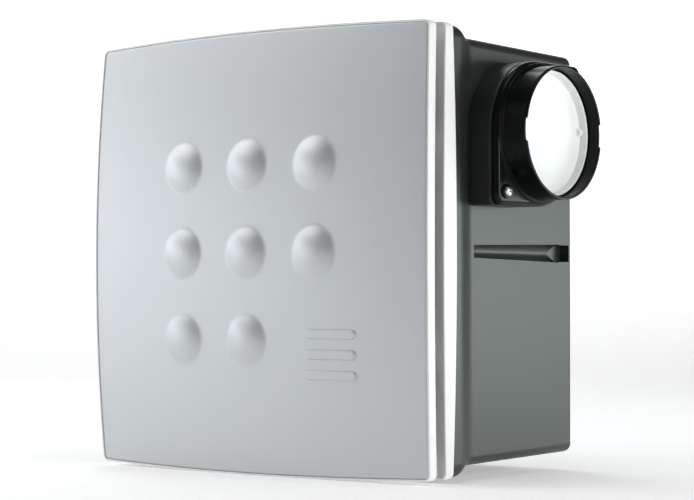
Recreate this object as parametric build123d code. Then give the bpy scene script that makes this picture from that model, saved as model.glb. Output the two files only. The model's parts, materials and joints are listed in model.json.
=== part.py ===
"""Recessed extract ventilation unit with a side duct spigot.

Row frame, millimetres: the origin is the centre of the recess box's rear face, +X points right as
seen from the room, +Y points rearwards into the wall and +Z points up. Depths in this file are
measured rearwards from the wall face, which is BOX_DEPTH in front of the origin, so anything that
stands out into the room has a negative depth.
"""
import math
import os

from build123d import *

os.makedirs("parts", exist_ok=True)

# ---------------------------------------------------------------- driving dimensions
# Recess box
BOX_SIDE = 310.4           # across its flats, where the collar runs into it
BOX_DEPTH = 166.5          # wall face to the rear face
BOX_DRAFT = 3.0            # each side leans in by this much towards the rear
BOX_WALL = 2.5
BOX_CORNER = 7.0
BOX_REAR_ROUND = 3.0
COLLAR_REACH = 7.1         # how far the collar stands out past the box, each side
COLLAR_CORNER = 10.0
COLLAR_FLAT = 8.4          # straight front part of the collar
COLLAR_END = 33.1          # depth where the collar has run into the box
GROOVE_FRONT_R = 4.6       # half-round channel along the right side
GROOVE_REAR_R = 6.9
POCKET_TIP = 142.0         # pointed pocket at the rear end of the channel
POCKET_HALF = 6.4
POCKET_SINK = 8.0
FIXING_PITCH = 240.0       # four fixing holes in the rear wall
FIXING_R = 2.75

# Front panel and wall frame
FRAME_OVERLAP = 7.3        # the frame covers the cut-out by this much past the box, each side
SIDE_BOW = 3.3             # each side of the outline is bowed outwards by this much
OUTLINE_CORNER = 5.0
PILLOW_R = 1941.0          # the whole front is part of a large ball
PANEL_FRONT = -27.1        # depths at the sharp corners of the outline
PANEL_BAND = 8.0           # height of the panel tray's side
INLET_GAP = 10.9           # slot all round between the panel tray and the frame
TRAY_LIP = 1.5
SHADOW_GAP = 0.3           # between the tray's lip and the facing
FACING_SINK = 0.6          # the facing lies this much below the lip
FACING_THICK = 1.2
TRAY_FLOOR = 2.0
FRAME_LIP = 2.0
FRAME_SINK = 1.0
FRAME_FLOOR = 2.4
DOME_R = 19.0
DOME_HEIGHT = 3.8
DOME_PITCH = 65.0
MARK_LENGTH = 46.0         # three plain raised bars in the ninth place
MARK_WIDTH = 7.0
MARK_PITCH = 15.0
MARK_HEIGHT = 1.1

# Air inlet in the frame, and the filter in it
OPENING_HALF = 128.0
SKIRT_WALL = 2.0
LEDGE_WIDTH = 7.0
LEDGE_DEPTH = 12.0         # front face of the ledge that the filter rests on
LEDGE_THICK = 2.0
FILTER_CLEAR = 1.0         # round the filter's edge
FILTER_THICK = 9.2
FILTER_BORDER = 7.0
PAD_THICK = 4.0
GRID_BAR = 3.0
GRID_THICK = 2.0

# Panel posts in the frame's guide tubes
POST_R = 3.5
POST_INSET = 10.2          # post and frame-screw centres, in from the box's side
POST_RISE = 75.0           # posts stand this far above and below the middle
POST_END = 22.0
GUIDE_WALL = 2.0
GUIDE_END = 20.0
CLIP_THICK = 0.8
RUN_CLEAR = 0.05           # radial clearance of pieces that slide or turn

# Duct spigot and its flap
SPIGOT_OD = 98.0
SPIGOT_WALL = 2.0
SPIGOT_DEPTH = 81.3        # its axis, behind the wall face
SPIGOT_DOWN = 68.6         # its axis, below the box's top
SPIGOT_REACH = 48.0        # rim, out from the box's side
BOSS_REACH = 19.8
BOSS_MARGIN = 4.5          # boss radius over the tube's radius
EAR_CORNER = 6.0
EAR_INSET = 9.8            # screw centre, in from the ear's two edges
GASKET_THICK = 1.0
PLATE_THICK = 6.0
PLATE_ROUND = 3.5
ROOT_RING = 2.6            # raised ring round the tube's root
NOTCH_HALF = 8.5
NOTCH_DEPTH = 1.5
FLAP_CLEAR = 1.0
FLAP_DEPTH = 8.0
FLAP_WALL = 1.5
FLAP_SINK = 10.0           # the flap's rim lies this far inside the tube's rim
FLAP_PIVOT_UP = 3.0
FLAP_PIVOT_IN = 1.5        # pivot in front of the flap's back, so that it hangs shut
FLAP_PIN_R = 1.5

# Fan
IMPELLER_R = 75.0
IMPELLER_LENGTH = 74.0
BLADE_COUNT = 36
BLADE_THICK = 1.2
BLADE_CHORD = 13.0
TONGUE_GAP = 6.0
SCROLL_GROWTH = 42.7       # radius gained between the tongue and the throat
SCROLL_WALL = 2.0
SCROLL_SIDE_GAP = 13.0     # between the scroll and the box's left wall
DUCT_HEIGHT = 92.0
DUCT_MARGIN = 0.5          # the duct's half width, over the spigot's bore
BELL_R = 58.0
BELL_ROUND = 10.0
BACK_GAP = 6.8             # behind the impeller's back plate
SEAL_THICK = 3.0

# Motor
SHAFT_R = 3.0
STACK_THICK = 16.0
STACK_HALF = 32.0
ROTOR_R = 12.5
AIR_GAP = 0.4
MOTOR_BOLT_X = 25.0
MOTOR_BOLT_R = 2.0
PLATE_R = 44.0
PLATE_SHEET = 1.5
MOUNT_R = 40.0
GROMMET_THICK = 1.0
BUSH_R = 4.5
BUSH_LENGTH = 3.6

# Electrical connection
TERMINAL_X = 83.0
TERMINAL_UP = 27.0         # above the box's inner floor
TERMINAL_LENGTH = 46.0
TERMINAL_HEIGHT = 20.0
TERMINAL_THICK = 12.0
LEAD_R = 2.5
CABLE_R = 4.0
INLET_IN = 22.0            # cable inlet axis, in front of the rear face

# ---------------------------------------------------------------- derived places
HALF = BOX_SIDE / 2
REAR_HALF = HALF - BOX_DRAFT
OUTLINE_HALF = HALF + FRAME_OVERLAP
COLLAR_HALF = HALF + COLLAR_REACH
REAR_IN = BOX_DEPTH - BOX_WALL
PANEL_REAR = PANEL_FRONT + PANEL_BAND
FRAME_FRONT = PANEL_REAR + INLET_GAP
POST_X = HALF - POST_INSET

SPIGOT_R = SPIGOT_OD / 2
SPIGOT_BORE_R = SPIGOT_R - SPIGOT_WALL
SPIGOT_Z = HALF - SPIGOT_DOWN
BOSS_R = SPIGOT_R + BOSS_MARGIN
EAR_PLACE = BOSS_R - EAR_INSET
BOSS_X = HALF + BOSS_REACH
PLATE_X = BOSS_X + GASKET_THICK
RIM_X = HALF + SPIGOT_REACH
FLAP_R = SPIGOT_BORE_R - FLAP_CLEAR
FLAP_RIM_X = RIM_X - FLAP_SINK
PIVOT_X = FLAP_RIM_X - FLAP_DEPTH + FLAP_PIVOT_IN
PIVOT_Z = SPIGOT_Z + FLAP_PIVOT_UP

DUCT_HALF = SPIGOT_BORE_R + DUCT_MARGIN
VOLUTE_FRONT = SPIGOT_DEPTH - DUCT_HALF
VOLUTE_REAR = SPIGOT_DEPTH + DUCT_HALF
VOLUTE_BACK = VOLUTE_REAR + SCROLL_WALL
SCROLL_START = IMPELLER_R + TONGUE_GAP
SCROLL_END = SCROLL_START + SCROLL_GROWTH
TONGUE = math.asin((SCROLL_END - DUCT_HEIGHT) / SCROLL_START)
SWEEP = TONGUE + math.radians(270)


def scroll_radius(angle):
    """Radius of the scroll at `angle`, which falls from TONGUE, clockwise seen from the room."""
    return SCROLL_START * (SCROLL_END / SCROLL_START) ** ((TONGUE - angle) / SWEEP)


FAN_X = -(HALF - BOX_WALL) + SCROLL_SIDE_GAP + SCROLL_WALL + scroll_radius(-math.pi)
FAN_Z = SPIGOT_Z + DUCT_HEIGHT / 2 - SCROLL_END
IMPELLER_REAR = VOLUTE_REAR - BACK_GAP
IMPELLER_FRONT = IMPELLER_REAR - IMPELLER_LENGTH

MOTOR_PLATE = VOLUTE_BACK + GROMMET_THICK
BRACKET = MOTOR_PLATE + PLATE_SHEET
STACK_FRONT = BRACKET + 5.7
STACK_REAR = STACK_FRONT + STACK_THICK
RING_THICK = 1.5
WASHER_THICK = 0.4
REAR_BUSH = STACK_REAR + RING_THICK + WASHER_THICK + 0.1


# ---------------------------------------------------------------- helpers
def y_of(depth):
    return depth - BOX_DEPTH


def facing_plane(depth, x=0.0, z=0.0):
    """A plane seen from the room: x right, y up, z out of the wall."""
    return Plane(origin=(x, y_of(depth), z), x_dir=(1, 0, 0), z_dir=(0, -1, 0))


def slab(outline, front, rear, x=0.0, z=0.0):
    """`outline`, drawn as seen from the room, as a solid between two depths."""
    return extrude(facing_plane(rear, x, z) * outline, rear - front)


def rod(radius, front, rear, x, z):
    return slab(Circle(radius), front, rear, x, z)


def tube(outer, inner, front, rear, x, z):
    return slab(Circle(outer) - Circle(inner), front, rear, x, z)


def side_slab(outline, start, end, depth=SPIGOT_DEPTH, z=SPIGOT_Z):
    """`outline`, drawn as seen from the right with x rearwards, between two X values."""
    plane = Plane(origin=(start, y_of(depth), z), x_dir=(0, 1, 0), z_dir=(1, 0, 0))
    return extrude(plane * outline, end - start)


def block(x0, x1, front, rear, z0, z1):
    """A box between two corners, with its Y sides given as depths."""
    outline = Pos((x0 + x1) / 2, (z0 + z1) / 2) * Rectangle(x1 - x0, z1 - z0)
    return slab(outline, front, rear)


def turned_on_fan(points):
    """Turn (radius, depth) points about the fan's axis."""
    plane = Plane(origin=(FAN_X, y_of(0), FAN_Z), x_dir=(1, 0, 0), z_dir=(0, 0, 1))
    profile = plane * make_face(Polyline(*points, close=True))
    return revolve(profile, Axis((FAN_X, 0, FAN_Z), (0, 1, 0)))


def bowed_square(inset=0.0):
    """The outline of panel and frame: a square with bowed sides, `inset` inside its edge."""
    half = OUTLINE_HALF - inset
    out = half + SIDE_BOW
    corners = [(half, half), (-half, half), (-half, -half), (half, -half)]
    middles = [(0, out), (-out, 0), (0, -out), (out, 0)]
    arcs = [ThreePointArc(corners[i], middles[i], corners[(i + 1) % 4]) for i in range(4)]
    face = make_face(arcs)
    return fillet(face.vertices(), max(OUTLINE_CORNER - inset, 1.0))


def rounded_square(half, radius):
    return RectangleRounded(2 * half, 2 * half, radius)


def pillow(depth):
    """Everything behind the crowned surface that has `depth` at the outline's sharp corners."""
    corner = math.hypot(OUTLINE_HALF, OUTLINE_HALF)
    centre = depth + math.sqrt(PILLOW_R**2 - corner**2)
    return Pos(0, y_of(centre), 0) * Sphere(PILLOW_R)


def pillow_depth(depth, x, z):
    """Depth of that crowned surface at one place."""
    corner_sq = 2 * OUTLINE_HALF**2
    return depth + math.sqrt(PILLOW_R**2 - corner_sq) - math.sqrt(PILLOW_R**2 - x**2 - z**2)


def crowned(outline, front, rear):
    """`outline` between two crowned surfaces, given by their corner depths."""
    raw = slab(outline, front - 25, rear + 5)
    return (raw & pillow(front)) - pillow(rear)


def screw(head_r, head_h, shank_r, length):
    """Pan-head screw with a cross recess: head on z = 0 upwards, shank below."""
    head = extrude(Circle(head_r), head_h)
    head = fillet(head.edges().sort_by(Axis.Z)[-1], head_h * 0.6)
    slot = Box(head_r * 1.1, head_r * 0.28, head_h)
    recess = Pos(0, 0, head_h) * (slot + Rot(0, 0, 90) * slot)
    shank = extrude(Circle(shank_r), -length)
    shank = chamfer(shank.edges().sort_by(Axis.Z)[0], shank_r * 0.5)
    return head + shank - recess


def facing_screw(x, z, depth, head_r, head_h, shank_r, length):
    """A screw driven rearwards, with the underside of its head at `depth`."""
    return facing_plane(depth, x, z) * screw(head_r, head_h, shank_r, length)


def rear_screw(x, z, depth, head_r, head_h, shank_r, length):
    """A screw driven towards the room, with the underside of its head at `depth`."""
    plane = Plane(origin=(x, y_of(depth), z), x_dir=(1, 0, 0), z_dir=(0, 1, 0))
    return plane * screw(head_r, head_h, shank_r, length)


def corners_of(x, z):
    return [(x, z), (-x, z), (-x, -z), (x, -z)]


def save(shape, node):
    export_step(shape, f"parts/{node}.step")


# ---------------------------------------------------------------- recess box
LUG_ANGLES = [math.radians(a) for a in (-45, -135, 135)]
LUG_R = 7.0
LUG_THICK = 3.0
LUG_FRONT = VOLUTE_BACK - LUG_THICK


def beside_scroll(angle, off):
    """A point `off` outside the scroll's wall, at an angle about the fan's axis."""
    reach = scroll_radius(angle if angle <= TONGUE else angle - 2 * math.pi) + SCROLL_WALL + off
    return FAN_X + reach * math.cos(angle), FAN_Z + reach * math.sin(angle)


LUGS = [beside_scroll(a, LUG_R) for a in LUG_ANGLES]


def side_x(depth, inset=0.0):
    """X of the box's right face at a depth."""
    share = (depth - COLLAR_END) / (BOX_DEPTH - COLLAR_END)
    return HALF - BOX_DRAFT * share - inset


def boss_outline(inset=0.0):
    """Round boss with a square ear at the front bottom and one at the rear top."""
    radius = BOSS_R - inset
    ear = Pos(radius / 2, radius / 2) * Rectangle(radius, radius)
    ear = fillet(ear.vertices().group_by(Axis.X)[-1].sort_by(Axis.Y)[-1], EAR_CORNER)
    return Circle(radius) + ear + Rot(0, 0, 180) * ear


def box_body(inset):
    """Collar, slope and tapered box as one solid, `inset` inside the outer faces."""
    steps = 6
    run = COLLAR_END - COLLAR_FLAT
    sections = []
    for i in range(steps + 1):
        share = i / steps
        ease = (1 - math.cos(math.pi * share)) / 2
        half = COLLAR_HALF - COLLAR_REACH * ease - inset
        radius = COLLAR_CORNER + (BOX_CORNER - COLLAR_CORNER) * ease - inset
        sections.append(facing_plane(COLLAR_FLAT + run * share) * rounded_square(half, radius))
    slope = loft(sections)
    flat = slab(rounded_square(COLLAR_HALF - inset, COLLAR_CORNER - inset), 0, COLLAR_FLAT)
    rear = BOX_DEPTH - inset
    rear_half = side_x(rear, inset)
    front_end = facing_plane(COLLAR_END) * rounded_square(HALF - inset, BOX_CORNER - inset)
    rear_end = facing_plane(rear) * rounded_square(rear_half, BOX_CORNER - inset)
    main = loft([front_end, rear_end], ruled=True)
    rear_edges = main.faces().sort_by(Axis.Y)[-1].edges()
    main = fillet(rear_edges, max(BOX_REAR_ROUND - inset, 0.5))
    return flat + slope + main


def side_channel(grow):
    """Tapering half-round channel and pointed pocket in the right side, `grow` larger."""
    front = COLLAR_END + 2.0
    start = facing_plane(front, side_x(front), 0) * Circle(GROOVE_FRONT_R + grow)
    groove_end = POCKET_TIP + POCKET_HALF
    end_x = side_x(groove_end)
    end = facing_plane(groove_end, end_x, 0) * Circle(GROOVE_REAR_R + grow)
    tip = POCKET_TIP - grow
    wide = POCKET_HALF + grow
    rear = REAR_IN - 1.5 + grow
    points = [(tip, 0), (tip + wide, wide), (rear, wide), (rear, -wide), (tip + wide, -wide)]
    floor_x = end_x - POCKET_SINK - grow
    pocket = side_slab(make_face(Polyline(*points, close=True)), floor_x, HALF + 1, 0, 0)
    return loft([start, end], ruled=True) + pocket


def make_recess_box():
    outer = box_body(0)
    shell = outer - box_body(BOX_WALL)
    boss = side_slab(boss_outline(), HALF - 3.5, BOSS_X)
    boss = fillet(boss.faces().sort_by(Axis.X)[-1].edges(), 1.2)
    shell += boss
    shell -= side_slab(boss_outline(BOX_WALL), HALF - 12, BOSS_X - BOX_WALL)
    shell -= side_slab(Circle(SPIGOT_BORE_R), HALF - 12, BOSS_X + 1)
    for sign in (1, -1):
        place = Pos(sign * EAR_PLACE, sign * EAR_PLACE)
        shell += side_slab(place * Circle(4.6), HALF - 2.0, BOSS_X - BOX_WALL)
        shell -= side_slab(place * Circle(1.6), HALF - 1.0, BOSS_X + 1)
    shell += side_channel(BOX_WALL) & outer
    shell -= side_channel(0)
    gusset = 12.0
    for x, z in corners_of(POST_X, POST_X):
        reach = math.copysign(gusset, x), math.copysign(gusset, z)
        centre = x + reach[0] * 0.6, z + reach[1] * 0.6
        corner = slab(Rectangle(2 * gusset, 2 * gusset), GUSSET_FRONT, GUSSET_REAR, *centre)
        shell += corner & outer
        shell -= rod(1.6, GUSSET_FRONT - 1, GUSSET_REAR - 6, x, z)
    for x, z in LUGS:
        shell += rod(6.0, VOLUTE_BACK, REAR_IN + 1, x, z)
        shell -= rod(1.6, VOLUTE_BACK - 1, VOLUTE_BACK + 14, x, z)
    for x, z in corners_of(FIXING_PITCH / 2, FIXING_PITCH / 2):
        shell += rod(FIXING_R + 4, REAR_IN - 1.5, REAR_IN + 1, x, z)
        shell -= rod(FIXING_R, REAR_IN - 3, BOX_DEPTH + 1, x, z)
    shell -= Pos(TERMINAL_X, y_of(BOX_DEPTH - INLET_IN), -HALF) * Cylinder(CABLE_R + 3, 30)
    for sign in (1, -1):
        peg_x = TERMINAL_X + sign * PEG_OFF
        shell += rod(1.5, REAR_IN - 4, REAR_IN + 1, peg_x, TERMINAL_Z)
    return shell


GUSSET_FRONT = 12.2
GUSSET_REAR = 45.0
TERMINAL_Z = -(HALF - BOX_WALL) + TERMINAL_UP
PEG_OFF = TERMINAL_LENGTH / 2 - 2.6

save(make_recess_box(), "recess_box")


# ---------------------------------------------------------------- wall frame
def make_inlet_frame():
    body = slab(bowed_square(), FRAME_FRONT - 25, 0) & pillow(FRAME_FRONT)
    # front floor, sunk inside the lip
    body -= slab(bowed_square(FRAME_LIP), FRAME_FRONT - 25, 0) - pillow(FRAME_FRONT + FRAME_SINK)
    # hollow behind the floor
    hollow = slab(bowed_square(FRAME_LIP), FRAME_FRONT - 25, 0.5)
    body -= hollow & pillow(FRAME_FRONT + FRAME_SINK + FRAME_FLOOR)
    skirt_half = OPENING_HALF + SKIRT_WALL
    skirt = slab(rounded_square(skirt_half, 8), FRAME_FRONT - 25, LEDGE_DEPTH + LEDGE_THICK)
    body += skirt & pillow(FRAME_FRONT + FRAME_SINK)
    for x, z in corners_of(POST_X, POST_X):
        body += rod(6.0, FRAME_FRONT - 25, GUSSET_FRONT, x, z) & pillow(FRAME_FRONT + FRAME_SINK)
        body -= rod(2.1, FRAME_FRONT - 25, GUSSET_FRONT + 1, x, z)
        body -= rod(4.6, FRAME_FRONT - 25, FRAME_SCREW_SEAT, x, z)
    for x, z in corners_of(POST_X, POST_RISE):
        guide = rod(POST_R + GUIDE_WALL, FRAME_FRONT - 25, GUIDE_END, x, z)
        body += guide & pillow(FRAME_FRONT + FRAME_SINK)
        body -= rod(POST_R + RUN_CLEAR, FRAME_FRONT - 25, GUIDE_END + 1, x, z)
    body -= slab(rounded_square(OPENING_HALF, 6), FRAME_FRONT - 25, LEDGE_DEPTH)
    body -= slab(rounded_square(OPENING_HALF - LEDGE_WIDTH, 4), 0, LEDGE_DEPTH + 5)
    return body


FRAME_SCREW_SEAT = -2.0

save(make_inlet_frame(), "inlet_frame")

frame_screws = [
    facing_screw(x, z, FRAME_SCREW_SEAT, 3.6, 2.4, 1.6, GUSSET_REAR - 8 - FRAME_SCREW_SEAT)
    for x, z in corners_of(POST_X, POST_X)
]
save(Compound(frame_screws), "frame_screws")


def make_panel_clips():
    """Spring-steel rings with a slot, one on the end of each guide tube."""
    clips = []
    for x, z in corners_of(POST_X, POST_RISE):
        ring = tube(POST_R + GUIDE_WALL, POST_R + RUN_CLEAR, GUIDE_END, GUIDE_END + CLIP_THICK, x, z)
        slot = slab(Rectangle(1.6, 12), GUIDE_END - 1, GUIDE_END + 2, x, z + 6)
        clips.append(ring - slot)
    return Compound(clips)


save(make_panel_clips(), "panel_clips")


# ---------------------------------------------------------------- front panel
def make_panel_carrier():
    body = crowned(bowed_square(), PANEL_FRONT, PANEL_REAR)
    seat = PANEL_FRONT + FACING_SINK + FACING_THICK + 0.1
    body -= slab(bowed_square(TRAY_LIP), PANEL_FRONT - 25, 0) - pillow(seat)
    body -= slab(bowed_square(TRAY_FLOOR), PANEL_FRONT - 25, 0) & pillow(seat + TRAY_FLOOR)
    # stiffening ribs under the floor
    for offset in (-90, -30, 30, 90):
        for turn in (0, 90):
            bar = Rot(0, 0, turn) * (Pos(offset, 0) * Rectangle(1.8, 2 * OUTLINE_HALF - 6))
            body += crowned(bar, seat + 0.5, seat + TRAY_FLOOR + 2.5)
    for x, z in corners_of(POST_X, POST_RISE):
        root = pillow_depth(seat + 0.5, x, z)
        body += rod(POST_R, root, POST_END, x, z)
        body += rod(POST_R + 2, root, root + 5.5, x, z)
    return body


def dome(x, z, grow):
    """The ball whose top is a dome at (x, z), `grow` larger."""
    ball_r = (DOME_R**2 + DOME_HEIGHT**2) / (2 * DOME_HEIGHT)
    top = pillow_depth(PANEL_FRONT + FACING_SINK, x, z) - DOME_HEIGHT
    return Pos(x, y_of(top + ball_r), z) * Sphere(ball_r + grow)


def make_front_panel():
    front = PANEL_FRONT + FACING_SINK
    facing = crowned(bowed_square(TRAY_LIP + SHADOW_GAP), front, front + FACING_THICK)
    behind = pillow(front + FACING_THICK)
    places = [(i * DOME_PITCH, k * DOME_PITCH) for k in (1, 0, -1) for i in (-1, 0, 1)]
    mark_x, mark_z = places.pop()
    for x, z in places:
        facing += dome(x, z, 0) - behind
    for x, z in places:
        facing -= dome(x, z, -FACING_THICK)
    for i in (-1, 0, 1):
        bar = SlotOverall(MARK_LENGTH, MARK_WIDTH)
        place = Pos(mark_x + 15, mark_z - 10 + i * MARK_PITCH)
        facing += crowned(place * bar, front - MARK_HEIGHT, front + 0.4)
    return facing


save(make_panel_carrier(), "panel_carrier")
save(make_front_panel(), "front_panel")

# ---------------------------------------------------------------- filter
FILTER_HALF = OPENING_HALF - FILTER_CLEAR
FILTER_REAR = LEDGE_DEPTH - 0.3
FILTER_FRONT = FILTER_REAR - FILTER_THICK
FILTER_WINDOW = FILTER_HALF - FILTER_BORDER


def lattice(half, front, rear):
    """Crossing bars that hold the filter pad."""
    bars = []
    for offset in (-half * 2 / 3, -half / 3, 0, half / 3, half * 2 / 3):
        bars.append(slab(Rectangle(GRID_BAR, 2 * half), front, rear, offset, 0))
        bars.append(slab(Rectangle(2 * half, GRID_BAR), front, rear, 0, offset))
    whole = bars[0]
    for bar in bars[1:]:
        whole += bar
    return whole


def make_filter_frame():
    ring = rounded_square(FILTER_HALF, 5) - rounded_square(FILTER_WINDOW, 2)
    body = slab(ring, FILTER_FRONT, FILTER_REAR)
    body += lattice(FILTER_WINDOW + 1, FILTER_REAR - GRID_THICK, FILTER_REAR)
    body += block(-14, 14, FILTER_FRONT - 4, FILTER_FRONT + 1, FILTER_WINDOW + 1, FILTER_WINDOW + 3)
    return body


def make_filter_grid():
    half = FILTER_WINDOW - 0.1
    ring = rounded_square(half, 1.9) - rounded_square(half - 3, 1)
    rear = FILTER_REAR - GRID_THICK - PAD_THICK
    return slab(ring, rear - GRID_THICK, rear) + lattice(half - 1, rear - GRID_THICK, rear)


def make_filter_pad():
    rear = FILTER_REAR - GRID_THICK
    return slab(rounded_square(FILTER_WINDOW - 0.1, 1.9), rear - PAD_THICK, rear)


save(make_filter_frame(), "filter_frame")
save(make_filter_grid(), "filter_grid")
save(make_filter_pad(), "filter_pad")


# ---------------------------------------------------------------- spigot and flap
def make_spigot_gasket():
    ring = side_slab(boss_outline(1.2) - Circle(SPIGOT_BORE_R + 0.5), BOSS_X, PLATE_X)
    for sign in (1, -1):
        ring -= side_slab(Pos(sign * EAR_PLACE, sign * EAR_PLACE) * Circle(2.3), BOSS_X - 1, PLATE_X + 1)
    return ring


def make_spigot():
    plate = side_slab(boss_outline(), PLATE_X, PLATE_X + PLATE_THICK)
    plate = fillet(plate.faces().sort_by(Axis.X)[-1].edges(), PLATE_ROUND)
    body = plate + side_slab(Circle(SPIGOT_R + ROOT_RING), PLATE_X, PLATE_X + PLATE_THICK + 1.5)
    body += side_slab(Circle(SPIGOT_R), PLATE_X, RIM_X)
    for sign in (1, -1):
        place = Pos(sign * EAR_PLACE, sign * EAR_PLACE)
        body += side_slab(place * Circle(5.2), PLATE_X, SPIGOT_SCREW_SEAT)
        body -= side_slab(place * Circle(2.2), PLATE_X - 1, SPIGOT_SCREW_SEAT + 1)
        notch = Pos(sign * SPIGOT_R, 0) * Rectangle(16, 2 * NOTCH_HALF)
        body -= side_slab(notch, RIM_X - NOTCH_DEPTH, RIM_X + 1)
    body -= side_slab(Circle(SPIGOT_BORE_R), PLATE_X - 1, RIM_X + 1)
    pin_hole = Cylinder(FLAP_PIN_R + RUN_CLEAR, 2 * (SPIGOT_R - 0.7), rotation=(90, 0, 0))
    body -= Pos(PIVOT_X, y_of(SPIGOT_DEPTH), PIVOT_Z) * pin_hole
    return body


def make_flap():
    centre = Plane(origin=(0, y_of(SPIGOT_DEPTH), SPIGOT_Z), x_dir=(1, 0, 0), z_dir=(0, -1, 0))
    back = FLAP_RIM_X - FLAP_DEPTH
    points = [
        (back, 0),
        (back, FLAP_R),
        (FLAP_RIM_X, FLAP_R),
        (FLAP_RIM_X, FLAP_R - FLAP_WALL),
        (back + FLAP_WALL, FLAP_R - FLAP_WALL),
        (back + FLAP_WALL, 0),
    ]
    profile = make_face(Polyline(*points, close=True))
    profile = fillet(profile.vertices().group_by(Axis.X)[0].sort_by(Axis.Y)[-1], FLAP_WALL * 0.8)
    axis = Axis((0, y_of(SPIGOT_DEPTH), SPIGOT_Z), (1, 0, 0))
    dish = revolve(centre * profile, axis)
    for sign in (1, -1):
        boss_y = y_of(SPIGOT_DEPTH) + sign * (FLAP_R - FLAP_PIN_SEAT / 2 - 0.3)
        boss = Cylinder(FLAP_PIN_R + 1.4, FLAP_PIN_SEAT, rotation=(90, 0, 0))
        dish += Pos(PIVOT_X, boss_y, PIVOT_Z) * boss
    bore = Cylinder(FLAP_PIN_R, 2 * SPIGOT_R, rotation=(90, 0, 0))
    solid_mid = Cylinder(FLAP_PIN_R + 1, 2 * (FLAP_R - FLAP_PIN_SEAT), rotation=(90, 0, 0))
    return dish - Pos(PIVOT_X, y_of(SPIGOT_DEPTH), PIVOT_Z) * (bore - solid_mid)


def make_flap_pins():
    length = SPIGOT_R - 1.0 - FLAP_R + FLAP_PIN_SEAT
    pins = []
    for sign in (1, -1):
        middle = y_of(SPIGOT_DEPTH) + sign * (SPIGOT_R - 1.0 - length / 2)
        pins.append(Pos(PIVOT_X, middle, PIVOT_Z) * Cylinder(FLAP_PIN_R, length, rotation=(90, 0, 0)))
    return Compound(pins)


FLAP_PIN_SEAT = 5.0
SPIGOT_SCREW_SEAT = PLATE_X + PLATE_THICK + 1.5

spigot_screws = []
for sign in (1, -1):
    seat = Plane(
        origin=(SPIGOT_SCREW_SEAT, y_of(SPIGOT_DEPTH) + sign * EAR_PLACE, SPIGOT_Z + sign * EAR_PLACE),
        x_dir=(0, 1, 0),
        z_dir=(1, 0, 0),
    )
    spigot_screws.append(seat * screw(3.8, 2.6, 1.6, SPIGOT_SCREW_SEAT - BOSS_X + 14))

save(make_spigot_gasket(), "spigot_gasket")
save(make_spigot(), "duct_spigot")
save(Compound(spigot_screws), "spigot_screws")
save(make_flap(), "backdraught_flap")
save(make_flap_pins(), "flap_pins")

# ---------------------------------------------------------------- volute
DUCT_END = side_x(VOLUTE_BACK) - BOX_WALL - SEAL_THICK
EAR_ANGLES = [math.radians(a) for a in (-10, -75, -110, 170, 105)]
EAR_R = 3.8
EARS = [beside_scroll(a, EAR_R - 0.8) for a in EAR_ANGLES]


def scroll_region(grow):
    """The scroll and its outlet duct as seen from the room, `grow` larger."""
    steps = 12
    points = []
    for i in range(steps + 1):
        angle = TONGUE - SWEEP * i / steps
        reach = scroll_radius(angle) + grow
        points.append((FAN_X + reach * math.cos(angle), FAN_Z + reach * math.sin(angle)))
    centre = (FAN_X, FAN_Z)
    sector = make_face([Spline(*points), Line(points[-1], centre), Line(centre, points[0])])
    length = DUCT_END - FAN_X
    duct = Pos(FAN_X + length / 2, SPIGOT_Z) * Rectangle(length, DUCT_HEIGHT + 2 * grow)
    return sector + duct + Pos(*centre) * Circle(SCROLL_START + grow)


INNER_REGION = scroll_region(0)
OUTER_REGION = scroll_region(SCROLL_WALL)
MOTOR_HOLE_R = 34.0
MOUNTS = [
    (FAN_X + MOUNT_R * math.cos(math.radians(a)), FAN_Z + MOUNT_R * math.sin(math.radians(a)))
    for a in (90, 210, 330)
]


def make_volute_housing():
    body = slab(OUTER_REGION, VOLUTE_FRONT, VOLUTE_BACK)
    for x, z in EARS:
        body += rod(EAR_R, VOLUTE_FRONT, VOLUTE_BACK, x, z)
    for (x, z), angle in zip(LUGS, LUG_ANGLES):
        arm = Rot(0, 0, math.degrees(angle)) * (Pos(-LUG_R, 0) * Rectangle(2 * LUG_R, 2 * LUG_R))
        body += slab(Circle(LUG_R) + arm, LUG_FRONT, VOLUTE_BACK, x, z)
    body -= slab(INNER_REGION, VOLUTE_FRONT - 1, VOLUTE_REAR)
    # the duct's mouth is open
    mouth = Pos(0, 0) * Rectangle(2 * DUCT_HALF, DUCT_HEIGHT)
    body -= side_slab(mouth, DUCT_END - 10, DUCT_END + 1)
    for x, z in EARS:
        body -= rod(1.3, VOLUTE_FRONT - 1, VOLUTE_FRONT + 12, x, z)
    for x, z in LUGS:
        body -= rod(2.1, LUG_FRONT - 1, VOLUTE_BACK + 1, x, z)
    for x, z in MOUNTS:
        body += rod(4.0, VOLUTE_REAR - 4.0, VOLUTE_REAR + 1, x, z)
        body -= rod(1.3, VOLUTE_REAR - 3.0, VOLUTE_BACK + 1, x, z)
    return body - rod(MOTOR_HOLE_R, VOLUTE_REAR - 1, VOLUTE_BACK + 1, FAN_X, FAN_Z)


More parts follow.
